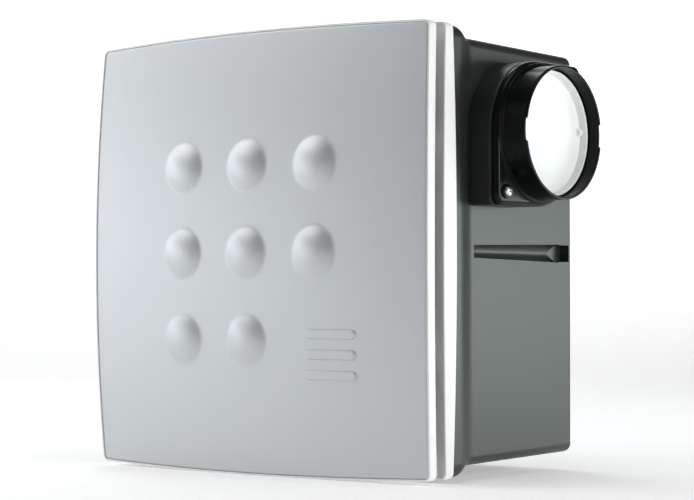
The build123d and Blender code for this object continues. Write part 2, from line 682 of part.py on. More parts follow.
def make_volute_cover():
    front = VOLUTE_FRONT - SCROLL_WALL
    body = slab(OUTER_REGION, front, VOLUTE_FRONT)
    for x, z in EARS:
        body += rod(EAR_R, front, VOLUTE_FRONT, x, z)
        body -= rod(1.7, front - 1, VOLUTE_FRONT + 1, x, z)
    body -= rod(BELL_R + BELL_ROUND - 0.5, front - 1, VOLUTE_FRONT + 1, FAN_X, FAN_Z)
    wall = SCROLL_WALL
    tip = front + BELL_ROUND + 3.0
    outer = [(BELL_R + BELL_ROUND, front)]
    inner = []
    steps = 6
    for i in range(steps + 1):
        angle = math.pi / 2 * i / steps
        away = BELL_R + BELL_ROUND - BELL_ROUND * math.sin(angle)
        inner.append((away, front + BELL_ROUND - BELL_ROUND * math.cos(angle)))
        reach = BELL_ROUND - wall
        away = BELL_R + BELL_ROUND - reach * math.sin(angle)
        outer.append((away, front + BELL_ROUND - reach * math.cos(angle)))
    points = inner + [(BELL_R, tip), (BELL_R + wall, tip)] + outer[:0:-1]
    return body + turned_on_fan(points)


def make_outlet_seal():
    outer = Rectangle(2 * DUCT_HALF + 2 * SCROLL_WALL, DUCT_HEIGHT + 2 * SCROLL_WALL)
    ring = outer - Rectangle(2 * DUCT_HALF - 2, DUCT_HEIGHT - 2)
    return side_slab(ring, DUCT_END, side_x(VOLUTE_BACK) - BOX_WALL - 0.2)


save(make_volute_housing(), "volute_housing")
save(make_volute_cover(), "volute_cover")
save(make_outlet_seal(), "outlet_seal")
cover_screws = [facing_screw(x, z, VOLUTE_FRONT - SCROLL_WALL, 3.0, 2.0, 1.25, 12) for x, z in EARS]
save(Compound(cover_screws), "cover_screws")
lug_screws = [facing_screw(x, z, LUG_FRONT, 3.8, 2.6, 1.6, 15) for x, z in LUGS]
save(Compound(lug_screws), "lug_screws")


# ---------------------------------------------------------------- impeller and shaft
HUB_R = 11.0
HUB_FRONT = IMPELLER_REAR - 20.0
SHAFT_FRONT = HUB_FRONT - 3.0
SHAFT_REAR = REAR_BUSH + BUSH_LENGTH + 0.6
RING_WIDTH = 4.0
PLATE_BACK = 2.0


def blade_outline():
    """One forward-curved blade, from the inner circle to the rim."""
    inner = IMPELLER_R - BLADE_CHORD
    lean = math.radians(9)
    start = Vector(inner, 0)
    end = Vector(IMPELLER_R * math.cos(lean), IMPELLER_R * math.sin(lean) * -1)
    middle = (start + end) * 0.5
    across = (end - start).normalized()
    side = Vector(-across.Y, across.X)
    bow = 2.4
    outer_arc = ThreePointArc(start, middle + side * (bow + BLADE_THICK / 2), end)
    inner_arc = ThreePointArc(
        start - side * BLADE_THICK, middle + side * (bow - BLADE_THICK / 2), end - side * BLADE_THICK
    )
    ends = [Line(outer_arc @ 0, inner_arc @ 0), Line(outer_arc @ 1, inner_arc @ 1)]
    return make_face([outer_arc, inner_arc] + ends)


def make_impeller():
    plate = tube(IMPELLER_R, HUB_R, IMPELLER_REAR - PLATE_BACK, IMPELLER_REAR, FAN_X, FAN_Z)
    ring = tube(
        IMPELLER_R, IMPELLER_R - RING_WIDTH, IMPELLER_FRONT, IMPELLER_FRONT + 3, FAN_X, FAN_Z
    )
    blade = slab(
        blade_outline() & Circle(IMPELLER_R - 0.3),
        IMPELLER_FRONT + 1,
        IMPELLER_REAR - PLATE_BACK / 2,
    )
    blades = [
        Pos(FAN_X, 0, FAN_Z) * (Rot(0, i * 360 / BLADE_COUNT, 0) * blade) for i in range(BLADE_COUNT)
    ]
    return plate + ([ring] + blades)


def make_hub():
    body = rod(HUB_R, IMPELLER_REAR - 6, IMPELLER_REAR + 1.5, FAN_X, FAN_Z)
    body += rod(HUB_R * 0.7, HUB_FRONT, IMPELLER_REAR, FAN_X, FAN_Z)
    return body - rod(SHAFT_R, HUB_FRONT - 1, IMPELLER_REAR + 3, FAN_X, FAN_Z)


def on_shaft(outer, front, length, bore=SHAFT_R):
    return tube(outer, bore, front, front + length, FAN_X, FAN_Z)


save(make_impeller(), "impeller")
save(make_hub(), "impeller_hub")
clip = on_shaft(SHAFT_R + 2.2, HUB_FRONT - 1.0, 0.9) - block(
    FAN_X - 1.2, FAN_X + 1.2, HUB_FRONT - 2, HUB_FRONT + 1, FAN_Z, FAN_Z + 9
)
save(clip, "impeller_clip")
shaft = rod(SHAFT_R, SHAFT_FRONT, SHAFT_REAR, FAN_X, FAN_Z)
save(chamfer(shaft.edges(), 0.6), "shaft")
save(on_shaft(ROTOR_R, STACK_FRONT, STACK_THICK), "rotor_core")
rings = [
    on_shaft(ROTOR_R - 1.0, STACK_FRONT - RING_THICK, RING_THICK),
    on_shaft(ROTOR_R - 1.0, STACK_REAR, RING_THICK),
]
save(Compound(rings), "rotor_end_rings")
washers = [
    on_shaft(SHAFT_R + 2, STACK_FRONT - RING_THICK - WASHER_THICK, WASHER_THICK),
    on_shaft(SHAFT_R + 2, STACK_REAR + RING_THICK, WASHER_THICK),
]
save(Compound(washers), "thrust_washers")

# ---------------------------------------------------------------- motor
POLE_LOW = 18.0            # the pole block, below and above the shaft
POLE_HIGH = 22.0
LEG_WIDTH = 10.0
CORE_LOW = 47.0            # the core bar that carries the coil
CORE_HEIGHT = 12.0
SHADE_WIRE = 1.5
SHADE_X = 15.0


def make_stack():
    pole = Pos(0, (POLE_HIGH - POLE_LOW) / 2) * Rectangle(2 * STACK_HALF, POLE_HIGH + POLE_LOW)
    leg_x = STACK_HALF - LEG_WIDTH / 2
    legs = [Pos(s * leg_x, -(CORE_LOW + POLE_LOW) / 2) * Rectangle(LEG_WIDTH, CORE_LOW - POLE_LOW)
            for s in (1, -1)]
    core = Pos(0, -CORE_LOW + CORE_HEIGHT / 2) * Rectangle(2 * STACK_HALF, CORE_HEIGHT)
    outline = pole + legs[0] + legs[1] + core
    outline -= Circle(ROTOR_R + AIR_GAP)
    for sign in (1, -1):
        outline -= Pos(sign * MOTOR_BOLT_X, 0) * Circle(MOTOR_BOLT_R + 0.1)
        slot = SHADE_WIRE + 0.2
        outline -= Pos(sign * (SHADE_X + SHADE_WIRE / 2), sign * SHADE_Z) * Rectangle(slot, slot)
    return slab(outline, STACK_FRONT, STACK_REAR, FAN_X, FAN_Z)


SHADE_Z = 13.0


def make_shading_rings():
    rings = []
    out = STACK_HALF + 0.1 + SHADE_WIRE
    for sign in (1, -1):
        x0, x1 = sorted((sign * SHADE_X, sign * out))
        z = FAN_Z + sign * SHADE_Z
        low, high = z - SHADE_WIRE / 2, z + SHADE_WIRE / 2
        loop = block(
            FAN_X + x0, FAN_X + x1, STACK_FRONT - 0.1 - SHADE_WIRE, STACK_REAR + 0.1 + SHADE_WIRE, low, high
        )
        x0, x1 = sorted((sign * (SHADE_X + SHADE_WIRE), sign * (out - SHADE_WIRE)))
        loop -= block(FAN_X + x0, FAN_X + x1, STACK_FRONT - 0.1, STACK_REAR + 0.1, low - 1, high + 1)
        rings.append(loop)
    return Compound(rings)


BOBBIN_HALF = STACK_HALF - LEG_WIDTH - 0.2
WINDING_BUILD = 4.2
BOBBIN_WALL = 1.0


def coil_ring(half_length, gap, build):
    """A rectangular sleeve round the core bar, from `gap` to `gap + build` off its faces."""
    mid = FAN_Z - CORE_LOW + CORE_HEIGHT / 2
    x0, x1 = FAN_X - half_length, FAN_X + half_length
    far = gap + build
    low = CORE_HEIGHT / 2
    outer = block(x0, x1, STACK_FRONT - far, STACK_REAR + far, mid - low - far, mid + low + far)
    return outer - block(
        x0 - 1, x1 + 1, STACK_FRONT - gap, STACK_REAR + gap, mid - low - gap, mid + low + gap
    )


def make_bobbin():
    body = coil_ring(BOBBIN_HALF, 0.1, BOBBIN_WALL)
    flange = coil_ring(BOBBIN_HALF, 0.1, BOBBIN_WALL + WINDING_BUILD)
    return body + (flange - coil_ring(BOBBIN_HALF - 1.2, 0.05, 20))


def make_bracket(front, rear, feet_from, feet_to, hub_from, hub_to):
    bar = Rectangle(2 * MOTOR_BOLT_X + 12, 13)
    bar = fillet(bar.vertices(), 5)
    body = slab(bar, front, rear, FAN_X, FAN_Z)
    for sign in (1, -1):
        body += rod(4.6, feet_from, feet_to, FAN_X + sign * MOTOR_BOLT_X, FAN_Z)
    body += rod(BUSH_R + 2.2, hub_from, hub_to, FAN_X, FAN_Z)
    body -= rod(BUSH_R, hub_from - 3, hub_to + 3, FAN_X, FAN_Z)
    for sign in (1, -1):
        body -= rod(MOTOR_BOLT_R + 0.1, feet_from - 1, feet_to + 1, FAN_X + sign * MOTOR_BOLT_X, FAN_Z)
    return body


def make_motor_plate():
    body = rod(PLATE_R, MOTOR_PLATE, BRACKET, FAN_X, FAN_Z)
    body -= rod(SHAFT_R + 4, MOTOR_PLATE - 1, BRACKET + 1, FAN_X, FAN_Z)
    for sign in (1, -1):
        body -= rod(MOTOR_BOLT_R + 0.1, MOTOR_PLATE - 1, BRACKET + 1, FAN_X + sign * MOTOR_BOLT_X, FAN_Z)
    for x, z in MOUNTS:
        body += rod(7.0, MOTOR_PLATE, BRACKET, x, z)
    for x, z in MOUNTS:
        body -= rod(2.0, MOTOR_PLATE - 1, BRACKET + 1, x, z)
    return body


def make_motor_bolts():
    """Two bolts through the motor, each with a nut in front of the motor plate."""
    bolts = []
    for sign in (1, -1):
        x = FAN_X + sign * MOTOR_BOLT_X
        seat = REAR_BUSH + 3.0
        nut_front = MOTOR_PLATE - 2.2
        bolt = rear_screw(x, FAN_Z, seat, 3.8, 2.2, MOTOR_BOLT_R, seat - nut_front + 1.0)
        nut = slab(RegularPolygon(4.0, 6), nut_front, MOTOR_PLATE, x, FAN_Z)
        bolts.append(bolt + nut)
    return Compound(bolts)


FRONT_BUSH = STACK_FRONT - RING_THICK - WASHER_THICK - 0.1 - BUSH_LENGTH
save(make_motor_plate(), "motor_plate")
grommets = [tube(5.0, 2.0, VOLUTE_BACK, MOTOR_PLATE, x, z) for x, z in MOUNTS]
save(Compound(grommets), "motor_grommets")
plate_screws = [rear_screw(x, z, BRACKET, 3.2, 1.6, 1.25, 6.2) for x, z in MOUNTS]
save(Compound(plate_screws), "motor_plate_screws")
save(make_stack(), "stator_stack")
save(make_shading_rings(), "shading_rings")
save(make_bobbin(), "coil_bobbin")
save(coil_ring(BOBBIN_HALF - 1.2, 0.1 + BOBBIN_WALL, WINDING_BUILD - 0.4), "coil_winding")
front_bracket = make_bracket(
    BRACKET + 0.8, BRACKET + 2.8, BRACKET, STACK_FRONT, FRONT_BUSH, FRONT_BUSH + BUSH_LENGTH
)
rear_bracket = make_bracket(
    REAR_BUSH + 1.0, REAR_BUSH + 3.0, STACK_REAR, REAR_BUSH + 3.0, REAR_BUSH, REAR_BUSH + BUSH_LENGTH
)
save(front_bracket, "front_bracket")
save(rear_bracket, "rear_bracket")
save(on_shaft(BUSH_R, FRONT_BUSH, BUSH_LENGTH, SHAFT_R + 0.03), "front_bush")
save(on_shaft(BUSH_R, REAR_BUSH, BUSH_LENGTH, SHAFT_R + 0.03), "rear_bush")
save(make_motor_bolts(), "motor_bolts")

# ---------------------------------------------------------------- electrical connection
WAYS = 3
WAY_PITCH = 14.0
TERMINAL_FRONT = REAR_IN - TERMINAL_THICK
CLAMP_R = 4.0


def way_x(i):
    return TERMINAL_X + (i - (WAYS - 1) / 2) * WAY_PITCH


def make_terminal_base():
    half = TERMINAL_LENGTH / 2
    low, high = TERMINAL_Z - TERMINAL_HEIGHT / 2, TERMINAL_Z + TERMINAL_HEIGHT / 2
    body = block(TERMINAL_X - half, TERMINAL_X + half, TERMINAL_FRONT, REAR_IN, low, high)
    for i in range(WAYS):
        bore = Cylinder(CLAMP_R, 2 * TERMINAL_HEIGHT)
        body -= Pos(way_x(i), y_of(TERMINAL_FRONT + 6), TERMINAL_Z) * bore
        body -= rod(2.6, TERMINAL_FRONT - 1, TERMINAL_FRONT + 6, way_x(i), TERMINAL_Z)
    for sign in (1, -1):
        peg_x = TERMINAL_X + sign * PEG_OFF
        body -= rod(1.55, REAR_IN - 4.5, REAR_IN + 1, peg_x, TERMINAL_Z)
    body -= rod(1.2, TERMINAL_FRONT - 1, TERMINAL_FRONT + 3.5, COVER_SCREW_X, TERMINAL_Z)
    return body


COVER_SCREW_X = TERMINAL_X - TERMINAL_LENGTH * 0.4


def make_clamps():
    clamps = []
    for i in range(WAYS):
        body = Cylinder(CLAMP_R, TERMINAL_HEIGHT - 3) - Cylinder(1.8, TERMINAL_HEIGHT)
        body = Pos(way_x(i), y_of(TERMINAL_FRONT + 6), TERMINAL_Z) * body
        clamps.append(body - rod(1.5, TERMINAL_FRONT, TERMINAL_FRONT + 6, way_x(i), TERMINAL_Z))
    return Compound(clamps)


def make_terminal_cover():
    wall = 1.2
    gap = 0.3
    half = TERMINAL_LENGTH / 2 + gap
    low, high = TERMINAL_Z - TERMINAL_HEIGHT / 2 - gap, TERMINAL_Z + TERMINAL_HEIGHT / 2 + gap
    front = TERMINAL_FRONT - 0.1
    x0, x1 = TERMINAL_X - half, TERMINAL_X + half
    body = block(x0 - wall, x1 + wall, front - wall, front + 2.5, low - wall, high + wall)
    body -= block(x0, x1, front, front + 4, low, high)
    return body - rod(1.5, front - 3, front + 1, COVER_SCREW_X, TERMINAL_Z)


save(make_terminal_base(), "terminal_base")
save(make_clamps(), "terminal_clamps")
terminal_screws = [
    facing_screw(way_x(i), TERMINAL_Z, TERMINAL_FRONT + 2.0, 2.4, 1.6, 1.5, 4.0) for i in range(WAYS)
]
save(Compound(terminal_screws), "terminal_screws")
save(make_terminal_cover(), "terminal_cover")
cover_seat = TERMINAL_FRONT - 1.3
save(facing_screw(COVER_SCREW_X, TERMINAL_Z, cover_seat, 2.2, 1.4, 1.2, 4.6), "terminal_cover_screw")

INLET_DEPTH = BOX_DEPTH - INLET_IN
GROMMET_CLEAR = 0.3        # the floor slopes a little under the grommet's flanges


def make_cable_grommet():
    """Rubber grommet in the box's floor, round the cable's hole."""
    hole = CABLE_R + 3
    floor = -(side_x(INLET_DEPTH) - BOX_WALL / 2)
    groove = BOX_WALL + 2 * GROMMET_CLEAR
    body = Cylinder(hole, groove) + Pos(0, 0, groove / 2 + 1.0) * Cylinder(hole + 2.5, 2.0)
    body += Pos(0, 0, -groove / 2 - 0.6) * Cylinder(hole + 1.5, 1.2)
    body -= Cylinder(CABLE_R, 12)
    return Pos(TERMINAL_X, y_of(INLET_DEPTH), floor) * body


def make_cable_clamp():
    """Saddle that grips the cable against a pad on the box's rear wall."""
    z = -(HALF - BOX_WALL) + 11.5
    body = block(TERMINAL_X - 14, TERMINAL_X + 14, INLET_DEPTH + 1, REAR_IN, z - 4, z + 4)
    body -= Pos(TERMINAL_X, y_of(INLET_DEPTH), z) * Cylinder(CABLE_R + 1.2, 20)
    for sign in (1, -1):
        body -= rod(1.6, INLET_DEPTH, REAR_IN - 4, TERMINAL_X + sign * 10, z)
    return body


save(make_cable_grommet(), "cable_grommet")
save(make_cable_clamp(), "cable_clamp")
clamp_screws = [
    facing_screw(TERMINAL_X + s * 10, -(HALF - BOX_WALL) + 11.5, INLET_DEPTH + 1, 3.0, 2.0, 1.6, 10)
    for s in (1, -1)
]
save(Compound(clamp_screws), "cable_clamp_screws")


def make_motor_lead():
    """Sleeved lead from the coil down and across to the terminal block, clear of the box."""
    coil_low = FAN_Z - CORE_LOW - 0.1 - BOBBIN_WALL - WINDING_BUILD
    lead_depth = STACK_REAR - 3.0
    left = TERMINAL_X - TERMINAL_LENGTH / 2
    points = [
        (FAN_X + 12, y_of(lead_depth), coil_low),
        (FAN_X + 12, y_of(lead_depth), coil_low - 40),
        (FAN_X + 42, y_of(TERMINAL_FRONT + 6), TERMINAL_Z),
        (left, y_of(TERMINAL_FRONT + 6), TERMINAL_Z),
    ]
    radii = []
    for before, point, after in zip(points, points[1:], points[2:]):
        into = Vector(point) - Vector(before)
        away = Vector(after) - Vector(point)
        shorter = min(into.length, away.length)
        radii.append(0.45 * shorter / math.tan(math.radians(into.get_angle(away)) / 2))
    print("motor lead radii", [round(r, 1) for r in radii])
    path = FilletPolyline(*points, radius=radii)
    start = Plane(origin=points[0], z_dir=(0, 0, -1))
    lead = sweep(start * Circle(LEAD_R), path=path)
    print("lead volume over section times length", lead.volume / (math.pi * LEAD_R**2 * path.length))
    return lead


save(make_motor_lead(), "motor_lead")
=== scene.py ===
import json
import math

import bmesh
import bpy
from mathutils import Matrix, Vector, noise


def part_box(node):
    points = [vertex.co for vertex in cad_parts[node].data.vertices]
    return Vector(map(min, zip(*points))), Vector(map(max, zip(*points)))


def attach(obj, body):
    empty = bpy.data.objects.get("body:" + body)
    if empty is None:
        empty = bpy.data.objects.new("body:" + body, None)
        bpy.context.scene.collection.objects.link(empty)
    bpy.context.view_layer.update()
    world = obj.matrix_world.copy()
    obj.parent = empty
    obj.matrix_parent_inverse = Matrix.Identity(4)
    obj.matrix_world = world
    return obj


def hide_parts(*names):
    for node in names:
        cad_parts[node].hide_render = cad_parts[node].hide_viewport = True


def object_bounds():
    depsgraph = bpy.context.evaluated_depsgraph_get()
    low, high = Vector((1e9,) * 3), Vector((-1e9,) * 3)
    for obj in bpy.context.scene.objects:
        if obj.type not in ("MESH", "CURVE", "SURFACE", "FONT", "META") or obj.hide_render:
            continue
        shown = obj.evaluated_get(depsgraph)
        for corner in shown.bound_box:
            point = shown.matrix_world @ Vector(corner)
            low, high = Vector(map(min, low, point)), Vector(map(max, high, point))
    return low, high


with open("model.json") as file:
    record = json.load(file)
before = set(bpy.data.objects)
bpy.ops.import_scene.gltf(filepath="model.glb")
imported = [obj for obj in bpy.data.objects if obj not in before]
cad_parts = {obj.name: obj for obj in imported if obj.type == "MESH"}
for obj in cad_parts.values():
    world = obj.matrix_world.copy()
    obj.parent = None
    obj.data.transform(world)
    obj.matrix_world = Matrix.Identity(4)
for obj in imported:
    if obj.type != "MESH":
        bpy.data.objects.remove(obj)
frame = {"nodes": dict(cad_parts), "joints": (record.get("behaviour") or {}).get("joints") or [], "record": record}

# %% [markdown]
# # A recessed extract ventilation unit
# The unit is let into a wall or a ceiling. It has a silver front panel in a white tray, a white wall
# frame, a black recess box and a round duct spigot with a white flap. The CAD model fixes every
# place and size, and this lesson gives each piece that shows its real shape and finish. Pieces could
# be built anywhere and fitted afterwards, but here everything is in metres in the CAD's own frame,
# so nothing needs fitting: X to the right, Y into the wall, Z up.

MM = 0.001
cad_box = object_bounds()
print("CAD box in mm:", [[round(v / MM, 1) for v in corner] for corner in cad_box])

# %% [markdown]
# ## Where things are
# The wall face is the front edge of the recess box, so depths are counted from there. Panel and
# frame are a square with slightly bowed sides, under a front that is part of a very large ball. The
# shape could be copied point by point from the CAD mesh, but the few sizes that a mould maker would
# write on the drawing give as many points as the shading asks for.

# %% Places and sizes
WALL_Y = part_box("recess_box")[0].y
TRAY_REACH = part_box("panel_carrier")[1].x
SIDE_BOW = 3.3 * MM
OUTLINE_HALF = TRAY_REACH - SIDE_BOW
OUTLINE_CORNER = 5.0 * MM
BALL_R = 1941.0 * MM
CORNER_AWAY_SQ = 2 * OUTLINE_HALF**2
BALL_DROP = math.sqrt(BALL_R**2 - CORNER_AWAY_SQ)
BAND_HEIGHT = 8.0 * MM
INLET_GAP = 10.9 * MM
PANEL_FRONT = -27.1 * MM
PANEL_REAR = PANEL_FRONT + BAND_HEIGHT
FRAME_FRONT = PANEL_REAR + INLET_GAP
print("panel half width in mm:", round(OUTLINE_HALF / MM, 2))


def ball_depth(corner_depth, x, z):
    """Depth of the crowned surface that has corner_depth at the outline's sharp corners."""
    return corner_depth + BALL_DROP - math.sqrt(BALL_R**2 - x * x - z * z)


# %% [markdown]
# ## The camera
# The camera stands well to the right of the unit and a little below its middle, where the side with
# the duct shows too. A wide lens close by would frame it as well, but it would bulge the front. A
# long lens from further back keeps the box's edges nearly parallel. It is set by two points, its
# place and its aim, because that is easier to read than three angles.

# %% Camera
LENS = 115.0
SENSOR_WIDTH = 36.0
CAMERA_PLACE = Vector((1.1049, WALL_Y - 1.2647, -0.0316))
CAMERA_AIM = Vector((0.0649, WALL_Y, 0.00156))
camera_data = bpy.data.cameras.new("product_camera")
camera_data.lens = LENS
camera_data.sensor_width = SENSOR_WIDTH
camera = bpy.data.objects.new("product_camera", camera_data)
camera.location = CAMERA_PLACE
camera.rotation_euler = (CAMERA_AIM - CAMERA_PLACE).to_track_quat("-Z", "Y").to_euler()
bpy.context.scene.collection.objects.link(camera)
bpy.context.scene.camera = camera
print("camera distance in m:", round((CAMERA_AIM - CAMERA_PLACE).length, 3))

# %% [markdown]
# ## Mesh helpers
# Nearly every moulded shell here is a set of rings joined by strips of faces, like the frames of a
# boat that are planked over. A subdivided box would be softer and quicker to draw, but it wouldn't
# keep exact sizes. So one function planks the rings, and another keeps an edge sharp only where the
# surface turns by more than a given angle. Joining and cutting end in the mesh itself, so that no
# modifier is left on a piece.

# %% Rings and skins


def new_piece(name, bm, sharp_degrees=35.0):
    """Turn a bmesh into an object with smooth faces and sharp edges where the surface turns."""
    bmesh.ops.recalc_face_normals(bm, faces=bm.faces)
    limit = math.radians(sharp_degrees)
    for edge in bm.edges:
        edge.smooth = not edge.is_manifold or edge.calc_face_angle(0) < limit
    for face in bm.faces:
        face.smooth = True
    mesh = bpy.data.meshes.new(name)
    bm.to_mesh(mesh)
    bm.free()
    piece = bpy.data.objects.new(name, mesh)
    bpy.context.scene.collection.objects.link(piece)
    return piece


def skin(name, rings, closed=False, cap=True, sharp_degrees=35.0):
    """Plank over rings of equal length. `closed` joins the last ring to the first."""
    bm = bmesh.new()
    rows = [[bm.verts.new(p) for p in ring] for ring in rings]
    pairs = list(zip(rows, rows[1:]))
    if closed:
        pairs.append((rows[-1], rows[0]))
    for low, high in pairs:
        count = len(low)
        for i in range(count):
            k = (i + 1) % count
            bm.faces.new((low[i], low[k], high[k], high[i]))
    if cap and not closed:
        for row in (rows[0], rows[-1]):
            middle = bm.verts.new(sum((v.co for v in row), Vector()) / len(row))
            for i in range(len(row)):
                bm.faces.new((row[i], row[(i + 1) % len(row)], middle))
    return new_piece(name, bm, sharp_degrees)


def join(name, pieces):
    """Make one object of several."""
    bm = bmesh.new()
    for piece in pieces:
        mesh = piece.data
        mesh.transform(piece.matrix_world)
        bm.from_mesh(mesh)
        bpy.data.objects.remove(piece)
        bpy.data.meshes.remove(mesh)
    return new_piece(name, bm)


def cut(piece, cutters):
    """Take the cutters' shapes out of a piece and keep the result in its mesh."""
    tool = join(piece.name + "_cutter", cutters)
    modifier = piece.modifiers.new("cut", "BOOLEAN")
    modifier.operation = "DIFFERENCE"
    modifier.solver = "EXACT"
    modifier.object = tool
    bpy.context.view_layer.update()
    graph = bpy.context.evaluated_depsgraph_get()
    mesh = bpy.data.meshes.new_from_object(piece.evaluated_get(graph))
    piece.modifiers.clear()
    bm = bmesh.new()
    bm.from_mesh(mesh)
    bpy.data.meshes.remove(mesh)
    bpy.data.objects.remove(tool)
    name = piece.name
    bpy.data.objects.remove(piece)
    return new_piece(name, bm)


print("mesh helpers:", new_piece.__name__, skin.__name__, join.__name__, cut.__name__)

# %% [markdown]
# Posts, tubes, screws and the flap are round. A screw modifier could sweep a drawn profile, but it
# needs a second object and has to be applied. Here a profile is a list of how far along the axis and
# how far from it each ring lies, the way a lathe hand would measure the piece, and the rings are
# planked like any others.

# %% Turned pieces


def ring_round(centre, axis, radius, steps):
    """Points of a circle round an axis through centre."""
    turn = axis.to_track_quat("Z", "X").to_matrix()
    points = []
    for i in range(steps):
        angle = 2 * math.pi * i / steps
        points.append(centre + turn @ Vector((radius * math.cos(angle), radius * math.sin(angle), 0)))
    return points


def turned(name, centre, axis, profile, steps=64, closed=False, sharp_degrees=35.0):
    """A turned piece from (along, radius) pairs; closed joins the profile's ends into a ring."""
    axis = Vector(axis).normalized()
    rings = [ring_round(centre + axis * along, axis, radius, steps) for along, radius in profile]
    return skin(name, rings, closed=closed, sharp_degrees=sharp_degrees)


print("64 steps on a radius of 5 mm leave an error in mm of", round(5 * (1 - math.cos(math.pi / 64)), 4))

# %% [markdown]
# ## The outline
# Panel and frame share one outline: four long arcs joined by small corner arcs. A Blender curve
# could be drawn and converted, but it decides by itself where its points go. Here the top side is
# worked out and turned round four times, so that every ring has the same number of points in the
# same order, which planking needs.

# %% The bowed square
SIDE_STEPS = 40
CORNER_STEPS = 5


def bowed_square(half, bow, corner, side_steps=SIDE_STEPS):
    """(x, z) points of a square with bowed sides and round corners, clockwise from the top left."""
    if bow > 0:
        big = (half * half + bow * bow) / (2 * bow)
        centre_z = half + bow - big
        reach = big - corner
        a = (centre_z + math.sqrt(2 * reach * reach - centre_z * centre_z)) / 2
        meet = math.atan2(a - centre_z, a)
        side = []
        for i in range(side_steps + 1):
            lean = (math.pi / 2 - meet) * (2 * i / side_steps - 1)
            side.append((big * math.sin(lean), centre_z + big * math.cos(lean)))
    else:
        a = half - corner
        meet = math.pi / 2
        side = [(a * (2 * i / side_steps - 1), half) for i in range(side_steps + 1)]
    arc = []
    for i in range(1, CORNER_STEPS + 1):
        angle = meet - (meet - math.pi / 4) * i / CORNER_STEPS
        arc.append((a + corner * math.cos(angle), a + corner * math.sin(angle)))
    left = [(-x, z) for x, z in reversed(arc)]
    top = left + side + arc[:-1]
    points = []
    for quarter in range(4):
        turn = Matrix.Rotation(-quarter * math.pi / 2, 2)
        points += [tuple(turn @ Vector(p)) for p in top]
    return points


def panel_outline(inset, side_steps=SIDE_STEPS):
    """The outline of panel and frame, drawn in by inset."""
    return bowed_square(OUTLINE_HALF - inset, SIDE_BOW, max(OUTLINE_CORNER - inset, 1.0 * MM), side_steps)


def crowned_ring(outline, corner_depth, share=1.0, lift=None):
    """Lay an outline, shrunk to a share of itself, on the crowned surface."""
    ring = []
    for x, z in outline:
        x, z = x * share, z * share
        depth = ball_depth(corner_depth, x, z)
        if lift:
            depth -= lift(x, z)
        ring.append(Vector((x, WALL_Y + depth, z)))
    return ring


def flat_ring(outline, depth):
    """Lay an outline flat, at a depth behind the wall face."""
    return [Vector((x, WALL_Y + depth, z)) for x, z in outline]


print("points in the outline:", len(panel_outline(0.0)))

# %% [markdown]
# ## Finishes
# A moulded or painted surface is never one flat colour: pigment drifts, and the grain of the mould
# or the flake in the paint breaks up its gloss. A picture could show that, but it needs unwrapping
# and has one fixed scale. So each finish is a small node tree: slow noise moves the colour, and fine
# noise moves the roughness and gives a slight relief. One function wires it, and each finish names
# its own values.

# %% A finish with grain
DRIFT_DETAIL = 4.0
GRAIN_DETAIL = 2.0
GRAIN_STRENGTH = 0.4
GLOSSIEST = 0.02


def finish_of(name, colour, roughness, metallic=0.0, drift=0.04, drift_scale=14.0, grain_scale=1800.0,
              grain_height=0.02, rough_drift=0.05, specular=0.5, coat=0.0, coat_rough=0.2, sheen=0.0,
              stretch=(1.0, 1.0, 1.0)):
    """A material whose colour, roughness and relief vary with noise."""
    material = bpy.data.materials.new(name)
    material.use_nodes = True
    nodes, links = material.node_tree.nodes, material.node_tree.links
    shader = nodes["Principled BSDF"]
    shader.inputs["Metallic"].default_value = metallic
    shader.inputs["Specular IOR Level"].default_value = specular
    shader.inputs["Coat Weight"].default_value = coat
    shader.inputs["Coat Roughness"].default_value = coat_rough
    shader.inputs["Sheen Weight"].default_value = sheen
    coordinates = nodes.new("ShaderNodeTexCoord")
    mapping = nodes.new("ShaderNodeMapping")
    mapping.inputs["Scale"].default_value = stretch
    links.new(coordinates.outputs["Object"], mapping.inputs["Vector"])
    cloud = nodes.new("ShaderNodeTexNoise")
    cloud.inputs["Scale"].default_value = drift_scale
    cloud.inputs["Detail"].default_value = DRIFT_DETAIL
    links.new(mapping.outputs["Vector"], cloud.inputs["Vector"])
    grain = nodes.new("ShaderNodeTexNoise")
    grain.inputs["Scale"].default_value = grain_scale
    grain.inputs["Detail"].default_value = GRAIN_DETAIL
    links.new(mapping.outputs["Vector"], grain.inputs["Vector"])
    tint = nodes.new("ShaderNodeMix")
    tint.data_type = "RGBA"
    tint.inputs["A"].default_value = (*[c * (1 - drift) for c in colour], 1)
    tint.inputs["B"].default_value = (*[min(c * (1 + drift), 1) for c in colour], 1)
    links.new(cloud.outputs["Fac"], tint.inputs["Factor"])
    links.new(tint.outputs["Result"], shader.inputs["Base Color"])
    rough = nodes.new("ShaderNodeMapRange")
    rough.inputs["To Min"].default_value = max(roughness - rough_drift, GLOSSIEST)
    rough.inputs["To Max"].default_value = roughness + rough_drift
    links.new(grain.outputs["Fac"], rough.inputs["Value"])
    links.new(rough.outputs["Result"], shader.inputs["Roughness"])
    bump = nodes.new("ShaderNodeBump")
    bump.inputs["Strength"].default_value = GRAIN_STRENGTH
    bump.inputs["Distance"].default_value = grain_height * MM
    links.new(grain.outputs["Fac"], bump.inputs["Height"])
    links.new(bump.outputs["Normal"], shader.inputs["Normal"])
    return material


print("a finish takes a name, a colour, a roughness and, where it needs them, its own grain values")

# %% [markdown]
# Some materials have a second relief over their grain: turns of wire, the edges of stacked sheets, a
# woven sleeve, the pits of foam. Each turn or pit could be modelled, but that takes more faces than
# such a small part is worth. A wave or a cell texture adds it as a second bump after the first.

# %% A second relief


